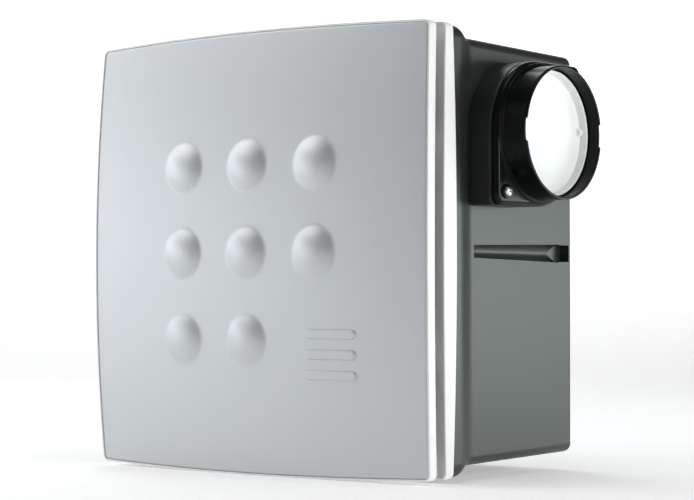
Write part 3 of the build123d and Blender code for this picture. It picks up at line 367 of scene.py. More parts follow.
def add_pattern(material, texture, strength, height):
    """Add a second relief, such as wire turns or laminations, over the grain of a finish."""
    nodes, links = material.node_tree.nodes, material.node_tree.links
    mapping = next(n for n in nodes if n.type == "MAPPING")
    links.new(mapping.outputs["Vector"], texture.inputs["Vector"])
    first = next(n for n in nodes if n.type == "BUMP")
    shader = next(n for n in nodes if n.type == "BSDF_PRINCIPLED")
    bump = nodes.new("ShaderNodeBump")
    bump.inputs["Strength"].default_value = strength
    bump.inputs["Distance"].default_value = height * MM
    out = texture.outputs.get("Fac") or texture.outputs["Distance"]
    links.new(out, bump.inputs["Height"])
    links.new(first.outputs["Normal"], bump.inputs["Normal"])
    links.new(bump.outputs["Normal"], shader.inputs["Normal"])
    return material


def stripes(material, scale, direction, strength=0.6, height=0.15):
    """Fine parallel ridges across one direction."""
    wave = material.node_tree.nodes.new("ShaderNodeTexWave")
    wave.inputs["Scale"].default_value = scale
    wave.inputs["Distortion"].default_value = 0.0
    wave.bands_direction = direction
    return add_pattern(material, wave, strength, height)


def cells(material, scale, strength=0.6, height=0.2):
    """Small pits, as in foam."""
    voronoi = material.node_tree.nodes.new("ShaderNodeTexVoronoi")
    voronoi.inputs["Scale"].default_value = scale
    return add_pattern(material, voronoi, strength, height)


print("second reliefs:", stripes.__name__, cells.__name__)

# %% [markdown]
# The silver is paint with a fine flake, so it is partly metallic under a thin clear coat. The box is
# a satin black moulding with a spark-eroded grain, and the spigot a smoother, darker one. The flap
# is thinner than the tray and a little cooler in colour. All whites could share one finish, but then
# thin and thick mouldings would look cast in one piece.

# %% Paint and mouldings
silver = finish_of("satin_silver_paint", (0.555, 0.58, 0.60), 0.42, metallic=0.62, drift=0.012,
                   drift_scale=5.0, grain_scale=2600.0, grain_height=0.008, rough_drift=0.03,
                   coat=0.15, coat_rough=0.3)
white = finish_of("white_moulding", (0.84, 0.84, 0.83), 0.34, drift=0.01, grain_scale=1500.0,
                  grain_height=0.006, rough_drift=0.04)
flap_white = finish_of("thin_white_moulding", (0.86, 0.885, 0.88), 0.38, drift=0.015,
                       grain_scale=1500.0, grain_height=0.006)
black = finish_of("satin_black_moulding", (0.011, 0.0135, 0.013), 0.40, drift=0.12, drift_scale=9.0,
                  grain_scale=1900.0, grain_height=0.03, rough_drift=0.05, specular=0.62)
spigot_black = finish_of("spigot_black_moulding", (0.003, 0.0042, 0.0039), 0.22, drift=0.1,
                         grain_scale=2100.0, grain_height=0.008, rough_drift=0.03, specular=0.12)
grey = finish_of("glass_filled_grey", (0.20, 0.205, 0.21), 0.48, drift=0.08, grain_height=0.04)
impeller_grey = finish_of("light_grey_moulding", (0.52, 0.53, 0.52), 0.42, drift=0.03)
print("paint and mouldings:", [m.name for m in bpy.data.materials])

# %% [markdown]
# Foam and rubber are nearly black and dull. The screws are bright zinc plate, the shaft is ground
# across its length, and the motor plate is galvanised sheet with broad patches. The stator is a pack
# of thin steel sheets and the coil many turns of wire, so both are striped. A plain metal finish
# would do for all of them, but the stripes are how one tells them apart.

# %% Foam, rubber and metals
foam = cells(finish_of("closed_cell_foam", (0.03, 0.03, 0.032), 0.85, drift=0.2), 900.0, 0.8, 0.3)
rubber = finish_of("black_rubber", (0.018, 0.018, 0.019), 0.62, drift=0.15, grain_height=0.05)
zinc = finish_of("bright_zinc_plate", (0.66, 0.67, 0.66), 0.26, metallic=1.0, drift=0.08,
                 drift_scale=300.0, rough_drift=0.08, grain_height=0.01)
steel = finish_of("ground_steel", (0.50, 0.50, 0.51), 0.28, metallic=1.0, drift=0.05,
                  stretch=(1.0, 12.0, 1.0), grain_height=0.01)
galvanised = finish_of("galvanised_sheet", (0.52, 0.54, 0.55), 0.38, metallic=0.9, drift=0.12,
                       drift_scale=90.0)
laminations = stripes(finish_of("stacked_steel_sheets", (0.14, 0.14, 0.15), 0.42, metallic=0.85,
                                drift=0.15), 320.0, "Y", 0.8, 0.1)
copper = stripes(finish_of("enamelled_copper_wire", (0.52, 0.20, 0.07), 0.24, metallic=0.85,
                           drift=0.12, coat=0.5, coat_rough=0.1), 260.0, "X", 0.9, 0.3)
bronze = finish_of("sintered_bronze", (0.42, 0.27, 0.12), 0.45, metallic=0.9, drift=0.1)
alloy = finish_of("die_cast_alloy", (0.52, 0.53, 0.54), 0.42, metallic=0.9, drift=0.06)
brass = finish_of("plain_brass", (0.62, 0.45, 0.18), 0.28, metallic=1.0, drift=0.06)
print("finishes in all:", len(bpy.data.materials))

# %% [markdown]
# The filter mat is matted fibre with a soft sheen, and the motor lead runs in a woven sleeve. A hair
# system could draw single fibres, but none can be told apart at this size, so stretched noise and
# slanting stripes stand for them. The list at the end ties each finish to its slot in the record.

# %% Mat, sleeve and the list of finishes
mat = finish_of("filter_mat_fibre", (0.80, 0.81, 0.78), 0.9, drift=0.06, drift_scale=120.0,
                grain_scale=900.0, grain_height=0.3, sheen=0.35, stretch=(1.0, 1.0, 3.0))
sleeve = stripes(finish_of("woven_sleeve", (0.02, 0.02, 0.024), 0.6, drift=0.2), 420.0, "DIAGONAL",
                 0.9, 0.25)

FINISHES = {
    "silver_facing": silver, "white_plastic": white, "flap_white": flap_white,
    "black_plastic": black, "spigot_black": spigot_black, "grey_plastic": grey,
    "impeller_plastic": impeller_grey, "foam": foam, "rubber": rubber, "zinc": zinc,
    "steel": steel, "galvanised": galvanised, "laminations": laminations, "copper": copper,
    "bronze": bronze, "cast_alloy": alloy, "brass": brass, "filter_mat": mat,
    "lead_sleeve": sleeve,
}
SLOT_OF_NODE = {row["node"]: row["material_slot"] for row in frame["record"]["subparts"]}
print("finishes:", len(FINISHES))

# %% [markdown]
# ## CAD nodes that stay
# The motor, the scroll, the terminal block and the small fasteners have the right shape already.
# They could be rebuilt here too, but nothing would be gained, so they keep their mesh and only get
# their finish. The pieces that are rebuilt below hide their nodes.

# %% Finishes on the CAD nodes
for node, thing in frame["nodes"].items():
    thing.data.materials.clear()
    thing.data.materials.append(FINISHES[SLOT_OF_NODE[node]])
print("CAD nodes with a finish:", len(frame["nodes"]))

# %% [markdown]
# A new piece needs a finish, a body to ride on and the names of the CAD nodes that it stands for.
# The calls could be written out for each piece, but with one helper none can be forgotten, and a
# piece without a body would stay behind when a joint moves.

# %% Placing a piece


def place(piece, slot, body, *stands_for):
    """Give a new piece its finish, the body that it rides on and the CAD nodes it stands for."""
    piece.data.materials.clear()
    piece.data.materials.append(FINISHES[slot])
    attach(piece, body)
    if stands_for:
        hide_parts(*stands_for)
    return piece


# %% [markdown]
# ## The silver facing
# A thin painted sheet with eight pressed domes, in a three by three grid whose ninth place holds a
# plain mark. The domes could be balls sunk into a flat sheet, but a press leaves no seam: each one
# lifts the sheet itself, and a small soft term rounds the crease at its foot. The sheet is planked
# ring by ring from its middle to its edge, finely enough for the domes to shade cleanly.

# %% Facing
DOME_PITCH = 65.0 * MM
DOME_R = 19.0 * MM
DOME_HEIGHT = 3.75 * MM
FOOT_ROUND = 0.35 * MM
FACING_INSET = 1.8 * MM
FACING_FRONT = PANEL_FRONT + 0.6 * MM
FACING_THICK = 1.2 * MM
FACING_EDGE = 0.4 * MM
FACING_SIDE_STEPS = 96
FACING_ROWS = 112
ROUND_MID = 0.3  # where a rounded edge's middle point lies, as a share of its radius
DOMES = [(i * DOME_PITCH, k * DOME_PITCH) for k in (1, 0, -1) for i in (-1, 0, 1)]
MARK_X, MARK_Z = DOMES.pop()


def dome_lift(x, z):
    """How far the domes raise the sheet at one place."""
    lift = 0.0
    for dome_x, dome_z in DOMES:
        away_sq = (x - dome_x) ** 2 + (z - dome_z) ** 2
        if away_sq < (1.6 * DOME_R) ** 2:
            cap = DOME_HEIGHT * (1 - away_sq / DOME_R**2)
            lift = max(lift, (cap + math.sqrt(cap * cap + FOOT_ROUND**2)) / 2)
    return lift


def facing_outline(inset):
    """The outline of the sheet, with more points along its sides than the tray needs."""
    return panel_outline(inset, FACING_SIDE_STEPS)


def make_facing():
    """The domed front, its rounded edge and its back."""
    outline = facing_outline(FACING_INSET)
    mid = ROUND_MID * FACING_EDGE
    rings = [crowned_ring(outline, FACING_FRONT, i / FACING_ROWS, dome_lift) for i in range(1, FACING_ROWS)]
    rings.append(crowned_ring(facing_outline(FACING_INSET + FACING_EDGE), FACING_FRONT))
    rings.append(crowned_ring(facing_outline(FACING_INSET + mid), FACING_FRONT + mid))
    rings.append(crowned_ring(outline, FACING_FRONT + FACING_EDGE))
    rings.append(crowned_ring(outline, FACING_FRONT + FACING_THICK))
    for share in (0.8, 0.5, 0.2):
        rings.append(crowned_ring(outline, FACING_FRONT + FACING_THICK, share))
    return skin("silver_facing", rings)


facing = place(make_facing(), "silver_facing", "panel", "front_panel")
print("facing faces:", len(facing.data.polygons))

# %% [markdown]
# ## The plain mark
# The ninth place of the grid holds three raised bars with round ends and soft top edges. They could
# be a bump in the finish, but a raised mark has real height and a real edge of light. Each bar is a
# slot outline, drawn in a little further at each height and laid on the crowned sheet.

# %% Raised bars
BAR_LENGTH = 46.0 * MM
BAR_WIDTH = 7.0 * MM
BAR_PITCH = 15.0 * MM
BAR_COUNT = 3
BARS_RIGHT = 15.0 * MM
BARS_DOWN = 10.0 * MM
BAR_PROFILE = ((-0.4, -0.15), (0.0, 0.1), (0.15, 0.65), (0.45, 0.93), (0.9, 1.05), (2.2, 1.05))


def slot_outline(centre_x, centre_z, length, width, steps=14):
    """A straight bar with half-round ends."""
    radius = width / 2
    run = length / 2 - radius
    points = []
    for side in (1, -1):
        for i in range(steps + 1):
            angle = math.pi / 2 - math.pi * i / steps
            x = side * (run + radius * math.cos(angle))
            points.append((centre_x + x, centre_z + side * radius * math.sin(angle)))
    return points


def make_bar(number):
    """One bar; the profile gives, in mm, how far each ring is drawn in and how high it lies."""
    x = MARK_X + BARS_RIGHT
    z = MARK_Z - BARS_DOWN + (number - BAR_COUNT // 2) * BAR_PITCH
    rings = []
    for shrink, height in BAR_PROFILE:
        outline = slot_outline(x, z, BAR_LENGTH - 2 * shrink * MM, BAR_WIDTH - 2 * shrink * MM)
        rings.append(crowned_ring(outline, FACING_FRONT - height * MM))
    return skin(f"raised_bar_{number + 1}", rings, sharp_degrees=60)


for number in range(BAR_COUNT):
    place(make_bar(number), "silver_facing", "panel")
print("raised bars:", BAR_COUNT)

# %% [markdown]
# ## The panel tray
# The white tray holds the silver sheet. It is one moulding: a floor under the sheet, a narrow lip
# round it and a band behind the lip. A solid with a bevel would come close, but a bevel knows
# nothing of the crowned front. So its section is a list of points, how far in and how deep, planked
# round the outline. Its edges are rounded by a few tenths of a millimetre, because that thin bright
# line is what makes a moulded edge look real.

# %% Tray
TRAY_LIP = 1.5 * MM
TRAY_WALL = 2.0 * MM
SEAT = PANEL_FRONT + 1.9 * MM
EDGE = 0.3 * MM
EDGE_MID = ROUND_MID * EDGE
FLOOR_SHARES = (0.1, 0.4, 0.7, 0.9)


def make_tray():
    """Floor, lip, band and underside, in one run of rings."""
    profile = [(TRAY_LIP, SEAT), (TRAY_LIP, PANEL_FRONT + EDGE), (TRAY_LIP - EDGE, PANEL_FRONT),
               (EDGE, PANEL_FRONT), (EDGE_MID, PANEL_FRONT + EDGE_MID), (0, PANEL_FRONT + EDGE),
               (0, PANEL_REAR - EDGE), (EDGE_MID, PANEL_REAR - EDGE_MID), (EDGE, PANEL_REAR),
               (TRAY_WALL - EDGE, PANEL_REAR), (TRAY_WALL, PANEL_REAR - EDGE), (TRAY_WALL, SEAT + TRAY_WALL)]
    seat_outline = panel_outline(TRAY_LIP)
    rear_outline = panel_outline(TRAY_WALL)
    rings = [crowned_ring(seat_outline, SEAT, share) for share in FLOOR_SHARES]
    rings += [crowned_ring(panel_outline(inset), depth) for inset, depth in profile]
    rings += [crowned_ring(rear_outline, SEAT + TRAY_WALL, share) for share in reversed(FLOOR_SHARES)]
    return skin("panel_tray", rings)


tray = place(make_tray(), "white_plastic", "panel", "panel_carrier")
print("tray faces:", len(tray.data.polygons))

# %% [markdown]
# Crossed ribs stiffen the tray from behind. They could be boxes sunk into the floor, but the floor
# is crowned and a box would stand off it at its ends. Each rib is one small section, planked along
# a line that follows the crown.

# %% Ribs
RIB_HALF = 0.9 * MM
RIB_SHORT = 2.5 * MM
RIB_STEPS = 24
RIB_OFFSETS = (-90, -30, 30, 90)
RIB_ROOT = 0.5
RIB_CREST = TRAY_WALL / MM + 2.5
RIB_SHOULDER = TRAY_WALL / MM + 2.3
RIB_SECTION = ((-1, RIB_ROOT), (1, RIB_ROOT), (1, RIB_SHOULDER), (0, RIB_CREST), (-1, RIB_SHOULDER))


def make_rib(offset, upright):
    """One rib across the tray, following the crowned floor."""
    reach = OUTLINE_HALF - RIB_SHORT
    rings = []
    for i in range(RIB_STEPS + 1):
        along = reach * (2 * i / RIB_STEPS - 1)
        ring = []
        for side, depth in RIB_SECTION:
            across = offset + side * RIB_HALF
            x, z = (across, along) if upright else (along, across)
            ring.append(Vector((x, WALL_Y + ball_depth(SEAT + depth * MM, x, z), z)))
        rings.append(ring)
    return skin("rib", rings)


ribs = [make_rib(offset * MM, upright) for offset in RIB_OFFSETS for upright in (True, False)]
place(join("tray_ribs", ribs), "white_plastic", "panel")
print("ribs:", len(ribs))

# %% [markdown]
# Four posts stand behind the tray. They run in guide tubes in the wall frame and hold the whole
# panel by their spring clips, so the panel pulls straight off. They could be left out, as they hardly
# show at rest, but with the panel drawn out they are what one sees. Each is turned, with a wide foot
# and a tapered end that finds its tube.

# %% Posts
POST_X = 145.0 * MM
POST_Z = 75.0 * MM
POST_R = 3.5 * MM
POST_END = 22.0 * MM
POST_STEPS = 40
FOOT_HIGH = 5.5 * MM
FOOT_WIDER = 2.0 * MM
POST_PLACES = [(sx * POST_X, sz * POST_Z) for sx in (1, -1) for sz in (1, -1)]


def make_post(x, z):
    """A post from just inside the tray's floor to its tapered end."""
    root = ball_depth(SEAT + RIB_ROOT * MM, x, z)
    foot = root + FOOT_HIGH
    profile = [(root, POST_R + FOOT_WIDER), (foot - 0.3 * MM, POST_R + FOOT_WIDER),
               (foot, POST_R + 1.7 * MM), (foot, POST_R + 0.3 * MM), (foot + 0.3 * MM, POST_R),
               (POST_END - 1.2 * MM, POST_R), (POST_END, POST_R - 1.0 * MM)]
    return turned("post", Vector((x, WALL_Y, z)), (0, 1, 0), profile, POST_STEPS)


posts = [make_post(x, z) for x, z in POST_PLACES]
place(join("panel_posts", posts), "white_plastic", "panel")
print("posts:", len(posts))

# %% [markdown]
# ## The wall frame
# It covers the edge of the hole in the wall and holds the filter. It could be joined from a band, a
# floor and a skirt, but it is one moulding and should show no seams. So one closed loop of rings
# goes from the outer band over the lip and the sunk floor, down the opening's skirt, round the ledge
# and back behind the floor. The outer rings are the bowed outline and the inner ones a plain square,
# and the planking blends from one to the other.

# %% Shell of the wall frame
OPENING_HALF = 128.0 * MM
SKIRT = 2.0 * MM
LEDGE_HALF = 121.0 * MM
LEDGE = 12.0 * MM
LEDGE_THICK = 2.0 * MM
FRAME_LIP = 2.0 * MM
FLOOR = FRAME_FRONT + 1.0 * MM
FLOOR_BACK = FLOOR + 2.4 * MM


def square(half, corner):
    """A plain square with round corners, with as many points as the bowed one."""
    return bowed_square(half, 0.0, corner)


def make_wall_frame():
    """Band, lip, floor, skirt and ledge, in one closed loop of rings."""
    band = [(0, FRAME_FRONT + EDGE), (EDGE_MID, FRAME_FRONT + EDGE_MID), (EDGE, FRAME_FRONT),
            (FRAME_LIP - EDGE, FRAME_FRONT), (FRAME_LIP - EDGE_MID, FRAME_FRONT + EDGE_MID),
            (FRAME_LIP, FRAME_FRONT + EDGE), (FRAME_LIP, FLOOR - 0.4 * EDGE),
            (FRAME_LIP + 0.6 * EDGE, FLOOR)]
    rings = [flat_ring(panel_outline(0.0), 0.0)]
    rings += [crowned_ring(panel_outline(inset), depth) for inset, depth in band]
    rings.append(crowned_ring(square(OPENING_HALF + 1.0 * MM, 7 * MM), FLOOR))
    rings.append(crowned_ring(square(OPENING_HALF + 0.3 * MM, 6.3 * MM), FLOOR + 0.3 * MM))
    rings.append(crowned_ring(square(OPENING_HALF, 6 * MM), FLOOR + 1.0 * MM))
    rings.append(flat_ring(square(OPENING_HALF, 6 * MM), LEDGE))
    rings.append(flat_ring(square(LEDGE_HALF, 4 * MM), LEDGE))
    rings.append(flat_ring(square(LEDGE_HALF, 4 * MM), LEDGE + LEDGE_THICK))
    rings.append(flat_ring(square(OPENING_HALF + SKIRT, 8 * MM), LEDGE + LEDGE_THICK))
    rings.append(crowned_ring(square(OPENING_HALF + SKIRT, 8 * MM), FLOOR_BACK))
    rings.append(crowned_ring(panel_outline(FRAME_LIP), FLOOR_BACK))
    rings.append(flat_ring(panel_outline(FRAME_LIP), 0.0))
    return skin("wall_frame", rings, closed=True)


solid_frame = make_wall_frame()
print("faces of the frame's shell:", len(solid_frame.data.polygons))

# %% [markdown]
# The frame's floor has eight round holes: four for the panel's posts, and four wells where a screw
# head sits out of sight. Planking round holes by hand is slow work, so plugs are cut out of the
# finished shell, and the result is kept in its mesh. A closed tube behind each hole guides the post
# or carries the screw's head.

# %% Holes and tubes of the wall frame
FRAME_SCREW_X = 145.0 * MM
FRAME_SCREW_SEAT = -2.0 * MM
SCREW_HOLE_R = 2.1 * MM
WELL_R = 4.6 * MM
WELL_TUBE_R = 6.0 * MM
WELL_END = 12.2 * MM
POST_HOLE_R = POST_R + 0.05 * MM
GUIDE_R = POST_R + 2.0 * MM
GUIDE_END = 20.0 * MM
TUBE_STEPS = 40
PLUG_SPAN = (-30 * MM, -1 * MM)
FRAME_SCREW_PLACES = [(sx * FRAME_SCREW_X, sz * FRAME_SCREW_X) for sx in (1, -1) for sz in (1, -1)]


def well(x, z, radius):
    """A plug that cuts a round hole through the frame's floor."""
    profile = [(along, radius) for along in PLUG_SPAN]
    return turned("plug", Vector((x, WALL_Y, z)), (0, 1, 0), profile, TUBE_STEPS)


def sleeve_tube(name, x, z, outer, inner, end, floor_at=None):
    """A tube that stands behind the frame's floor; floor_at closes it except for the screw's hole."""
    start = ball_depth(FLOOR, x, z) + 0.2 * MM
    profile = [(start, outer), (end, outer)]
    if floor_at is None:
        profile += [(end, inner), (start, inner)]
    else:
        profile += [(end, SCREW_HOLE_R), (floor_at, SCREW_HOLE_R), (floor_at, inner), (start, inner)]
    return turned(name, Vector((x, WALL_Y, z)), (0, 1, 0), profile, TUBE_STEPS, closed=True)


plugs = [well(x, z, POST_HOLE_R) for x, z in POST_PLACES]
plugs += [well(x, z, WELL_R) for x, z in FRAME_SCREW_PLACES]
wall_frame = cut(solid_frame, plugs)
place(wall_frame, "white_plastic", "housing", "inlet_frame")
tubes = [sleeve_tube("guide", x, z, GUIDE_R, POST_HOLE_R, GUIDE_END) for x, z in POST_PLACES]
tubes += [sleeve_tube("well", x, z, WELL_TUBE_R, WELL_R, WELL_END, FRAME_SCREW_SEAT)
          for x, z in FRAME_SCREW_PLACES]
place(join("frame_tubes", tubes), "white_plastic", "housing")
print("wall frame faces:", len(wall_frame.data.polygons))

# %% [markdown]
# ## The duct spigot
# The duct slides over the spigot, a flange with two square ears and a round tube in one moulding.
# A plate and a tube could be united, but the soft step between them would be lost. So the rings
# start as the ear outline and end as circles, and each point keeps its own angle, so the planking
# runs straight out from the axis. First come the two kinds of ring. The round one can be drawn back
# in two places, for the shallow notches where the duct clip's tabs go.

# %% Ear outline
spigot_low, spigot_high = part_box("duct_spigot")
SPIGOT_R = 49.0 * MM
BORE_R = 47.0 * MM
BOSS_R = 53.5 * MM
EAR_CORNER = 6.0 * MM
SPIGOT_Y = (spigot_low.y + spigot_high.y) / 2
SPIGOT_Z = (spigot_low.z + spigot_high.z) / 2
PLATE_X = spigot_low.x
RIM_X = spigot_high.x
PLATE_THICK = 6.0 * MM
EAR_INSET = 9.8 * MM
EAR_PLACE = BOSS_R - EAR_INSET
RING_STEPS = 240
NOTCH_HALF = 8.5 * MM
NOTCH_DEPTH = 1.5 * MM


def ear_outline(inset=0.0):
    """(rearwards, up) points of the flange: round, with square ears at two opposite corners."""
    radius = BOSS_R - inset
    corner = max(EAR_CORNER - inset, 1.0 * MM)
    core = radius - corner
    points = []
    for i in range(RING_STEPS):
        angle = 2 * math.pi * i / RING_STEPS
        c, s = math.cos(angle), math.sin(angle)
        if c * s <= 0:
            reach = radius
        else:
            reach = radius / max(abs(c), abs(s))
            if min(abs(c), abs(s)) * reach > core:
                # meet the ear's corner arc
                along = core * (abs(c) + abs(s))
                reach = along + math.sqrt(along * along - 2 * core * core + corner * corner)
        points.append((reach * c, reach * s))
    return points


def ear_ring(x, inset=0.0):
    """The flange's outline at x, drawn in by inset."""
    return [Vector((x, SPIGOT_Y + a, SPIGOT_Z + b)) for a, b in ear_outline(inset)]


def tube_ring(x, radius, notch=0.0):
    """A circle round the duct's axis; the notch pulls it back at mid height, front and rear."""
    ring = []
    for i in range(RING_STEPS):
        angle = 2 * math.pi * i / RING_STEPS
        back = notch if abs(math.sin(angle)) * SPIGOT_R < NOTCH_HALF else 0.0
        y, z = SPIGOT_Y + radius * math.cos(angle), SPIGOT_Z + radius * math.sin(angle)
        ring.append(Vector((x - back, y, z)))
    return ring


print("points in a spigot ring:", len(tube_ring(PLATE_X, SPIGOT_R)))

# %% [markdown]
# The moulding is one closed loop of rings: the flange's back and its rounded edge, a raised ring at
# the tube's root, the tube, its notched rim and the bore. It could stop at the outer skin, but the
# rim and the bore are in plain sight. The rings just below the notches aren't drawn back, so the
# notches end in a clean step.

# %% Spigot moulding
PLATE_ROUND = 3.5 * MM
PLATE_ROUND_STEPS = 6
ROOT_WIDER = 2.6 * MM
ROOT_HIGH = 1.5 * MM
RIM_SOFT = 0.4 * MM
BELOW_RIM = 2.0 * MM


def make_spigot():
    """Flange, root ring, tube, rim and bore."""
    top = PLATE_X + PLATE_THICK
    root_r = SPIGOT_R + ROOT_WIDER
    root_x = top + ROOT_HIGH
    soft = RIM_SOFT
    rings = [tube_ring(PLATE_X, BORE_R), ear_ring(PLATE_X, 0.3 * MM), ear_ring(PLATE_X + 0.3 * MM)]
    for i in range(PLATE_ROUND_STEPS + 1):
        angle = math.pi / 2 * i / PLATE_ROUND_STEPS
        inset = PLATE_ROUND * (1 - math.cos(angle))
        rings.append(ear_ring(top - PLATE_ROUND + PLATE_ROUND * math.sin(angle), inset))
    root = [(top, root_r + 0.5 * MM), (top + 0.25 * MM, root_r + 0.1 * MM), (root_x - soft, root_r),
            (root_x - 0.1 * MM, root_r - 0.2 * MM), (root_x, root_r - soft), (root_x, SPIGOT_R + 0.6 * MM),
            (root_x + 0.2 * MM, SPIGOT_R + 0.15 * MM), (root_x + 0.7 * MM, SPIGOT_R)]
    below_notch = RIM_X - NOTCH_DEPTH - soft - 0.2 * MM
    outside = [(below_notch - BELOW_RIM, SPIGOT_R), (below_notch, SPIGOT_R)]
    rim = [(RIM_X - soft, SPIGOT_R), (RIM_X - 0.1 * MM, SPIGOT_R - 0.15 * MM), (RIM_X, SPIGOT_R - soft),
           (RIM_X, BORE_R + soft), (RIM_X - 0.1 * MM, BORE_R + 0.15 * MM), (RIM_X - soft, BORE_R)]
    inside = [(below_notch, BORE_R), (below_notch - BELOW_RIM, BORE_R)]
    rings += [tube_ring(x, radius) for x, radius in root + outside]
    rings += [tube_ring(x, radius, NOTCH_DEPTH) for x, radius in rim]
    rings += [tube_ring(x, radius) for x, radius in inside]
    return skin("spigot_moulding", rings, closed=True)


spigot = place(make_spigot(), "spigot_black", "housing", "duct_spigot")
print("spigot faces:", len(spigot.data.polygons))

# %% [markdown]
# Each ear has a raised collar that its screw's head stands on. It could be drawn into the flange's
# rings, but they run round the tube's axis and not round the screw's. A small turned ring with soft
# edges, sunk a little into the flange, looks the same.

# %% Screw collars
COLLAR_R = 5.2 * MM
COLLAR_BORE_R = 2.2 * MM
COLLAR_HIGH = 1.5 * MM
COLLAR_SUNK = 1.0 * MM
COLLAR_STEPS = 48
SCREW_PLACES = [(sign * EAR_PLACE, sign * EAR_PLACE) for sign in (1, -1)]


def make_collar(a, b):
    """A collar, a rearwards of the duct's axis and b above it."""
    base = PLATE_X + PLATE_THICK - COLLAR_SUNK
    top = PLATE_X + PLATE_THICK + COLLAR_HIGH
    profile = [(base, COLLAR_R), (top - 0.4 * MM, COLLAR_R), (top - 0.1 * MM, COLLAR_R - 0.1 * MM),
               (top, COLLAR_R - 0.4 * MM), (top, COLLAR_BORE_R), (base, COLLAR_BORE_R)]
    centre = Vector((0, SPIGOT_Y + a, SPIGOT_Z + b))
    return turned("collar", centre, (1, 0, 0), profile, COLLAR_STEPS, closed=True)


place(join("screw_collars", [make_collar(a, b) for a, b in SCREW_PLACES]), "spigot_black", "housing")
print("screw collars:", len(SCREW_PLACES))

# %% [markdown]
# ## Foam seals
# Two foam parts close the air path: a thin gasket under the flange, and a soft ring between the
# scroll's mouth and the box. Cut foam has open cells at its edges and swells a little where it isn't
# pressed. A cloth simulation could swell it, but foam that is held all round hardly moves, so both
# are rings with a bulged edge and a fine unevenness, drawn anew on each run. The gasket has the
# flange's own outline.

# %% Flange gasket
gasket_low, gasket_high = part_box("spigot_gasket")
GASKET_ROUGH = 0.05 * MM
GASKET_EDGE = ((0.03, 0.5), (0.25, 0.2), (0.5, 0.12), (0.75, 0.2), (0.97, 0.5))
GASKET_BORE = ((0.97, 0.6), (0.5, 0.25), (0.03, 0.6))


def roughened(ring, depth, scale=900.0):
    """Move points a little along X and across, as the cells of cut foam do."""
    rough = []
    for p in ring:
        shift = noise.noise_vector(p * scale) * depth
        rough.append(p + Vector((0.3 * shift.x, shift.y, shift.z)))
    return rough


def make_gasket():
    """Its edges are lists of a share of the thickness and of how far the ring is drawn in, in mm."""
    thick = gasket_high.x - gasket_low.x
    rings = []
    for share, inset in GASKET_EDGE:
        rings.append(roughened(ear_ring(gasket_low.x + share * thick, inset * MM), GASKET_ROUGH))
    for share, grow in GASKET_BORE:
        rings.append(tube_ring(gasket_low.x + share * thick, BORE_R + grow * MM))
    return skin("flange_gasket", rings, closed=True, sharp_degrees=60)


gasket = place(make_gasket(), "foam", "housing", "spigot_gasket")
print("gasket faces:", len(gasket.data.polygons))

# %% [markdown]
# The seal at the scroll's mouth is a strip of foam bent into a rectangle. It could be swept along a
# curve, but a sweep pinches at tight corners. Here the rectangle is drawn once for each point of the
# strip's own section, a swollen square, so the corners stay full.

# %% Mouth seal
seal_low, seal_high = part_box("outlet_seal")
SEAL_BAND = 3.0 * MM
SEAL_CORNER = 0.8 * MM
SEAL_SECTION_STEPS = 16
SEAL_SQUARENESS = 0.6
SEAL_ROUGH = 0.12 * MM
SEAL_CELLS = 700.0
CORNER_ARC_STEPS = 6


def rounded_rectangle(x, half_y, half_z, corner, per_side=70):
    """A ring in the plane of the duct's mouth, with points spread over sides and corners."""
    centre_y, centre_z = (seal_low.y + seal_high.y) / 2, (seal_low.z + seal_high.z) / 2
    ring = []
    corners = ((1, 1, 0), (-1, 1, 90), (-1, -1, 180), (1, -1, 270))
    for i, (sy, sz, start) in enumerate(corners):
        for k in range(CORNER_ARC_STEPS + 1):
            angle = math.radians(start + 90 * k / CORNER_ARC_STEPS)
            y = sy * (half_y - corner) + corner * math.cos(angle)
            z = sz * (half_z - corner) + corner * math.sin(angle)
            ring.append(Vector((x, centre_y + y, centre_z + z)))
        ny, nz, turn = corners[(i + 1) % 4]
        finish_y = ny * (half_y - corner) + corner * math.cos(math.radians(turn))
        finish_z = nz * (half_z - corner) + corner * math.sin(math.radians(turn))
        begin, end = ring[-1], Vector((x, centre_y + finish_y, centre_z + finish_z))
        ring += [begin.lerp(end, k / per_side) for k in range(1, per_side)]
    return ring


def swollen(value):
    """Pull a sine or cosine towards the side of a square."""
    return math.copysign(abs(value) ** SEAL_SQUARENESS, value)


def make_outlet_seal():
    """The rectangle, drawn once for each point of the strip's section."""
    half_y, half_z = (seal_high.y - seal_low.y) / 2, (seal_high.z - seal_low.z) / 2
    thick = seal_high.x - seal_low.x
    rings = []
    for i in range(SEAL_SECTION_STEPS):
        angle = 2 * math.pi * i / SEAL_SECTION_STEPS
        across = 0.5 + 0.46 * swollen(math.cos(angle))
        along = 0.5 + 0.48 * swollen(math.sin(angle))
        inset = SEAL_BAND * across
        ring = rounded_rectangle(seal_low.x + along * thick, half_y - inset, half_z - inset, SEAL_CORNER)
        rings.append(roughened(ring, SEAL_ROUGH, SEAL_CELLS))
    return skin("mouth_seal", rings, closed=True, sharp_degrees=80)


mouth_seal = place(make_outlet_seal(), "foam", "housing", "outlet_seal")
print("mouth seal faces:", len(mouth_seal.data.polygons))

# %% [markdown]
# ## The backdraught flap
# A thin white dish that hangs on two pins a little above the duct's middle, so that its weight shuts
# it. Air from the fan swings it open. It could be a flat disc, but its turned-up rim and the soft
# corner inside it are what catch the light. It is turned from one profile, and it rides on the
# flap's own body, so it swings with the joint. The pins' bosses take their place from that joint.

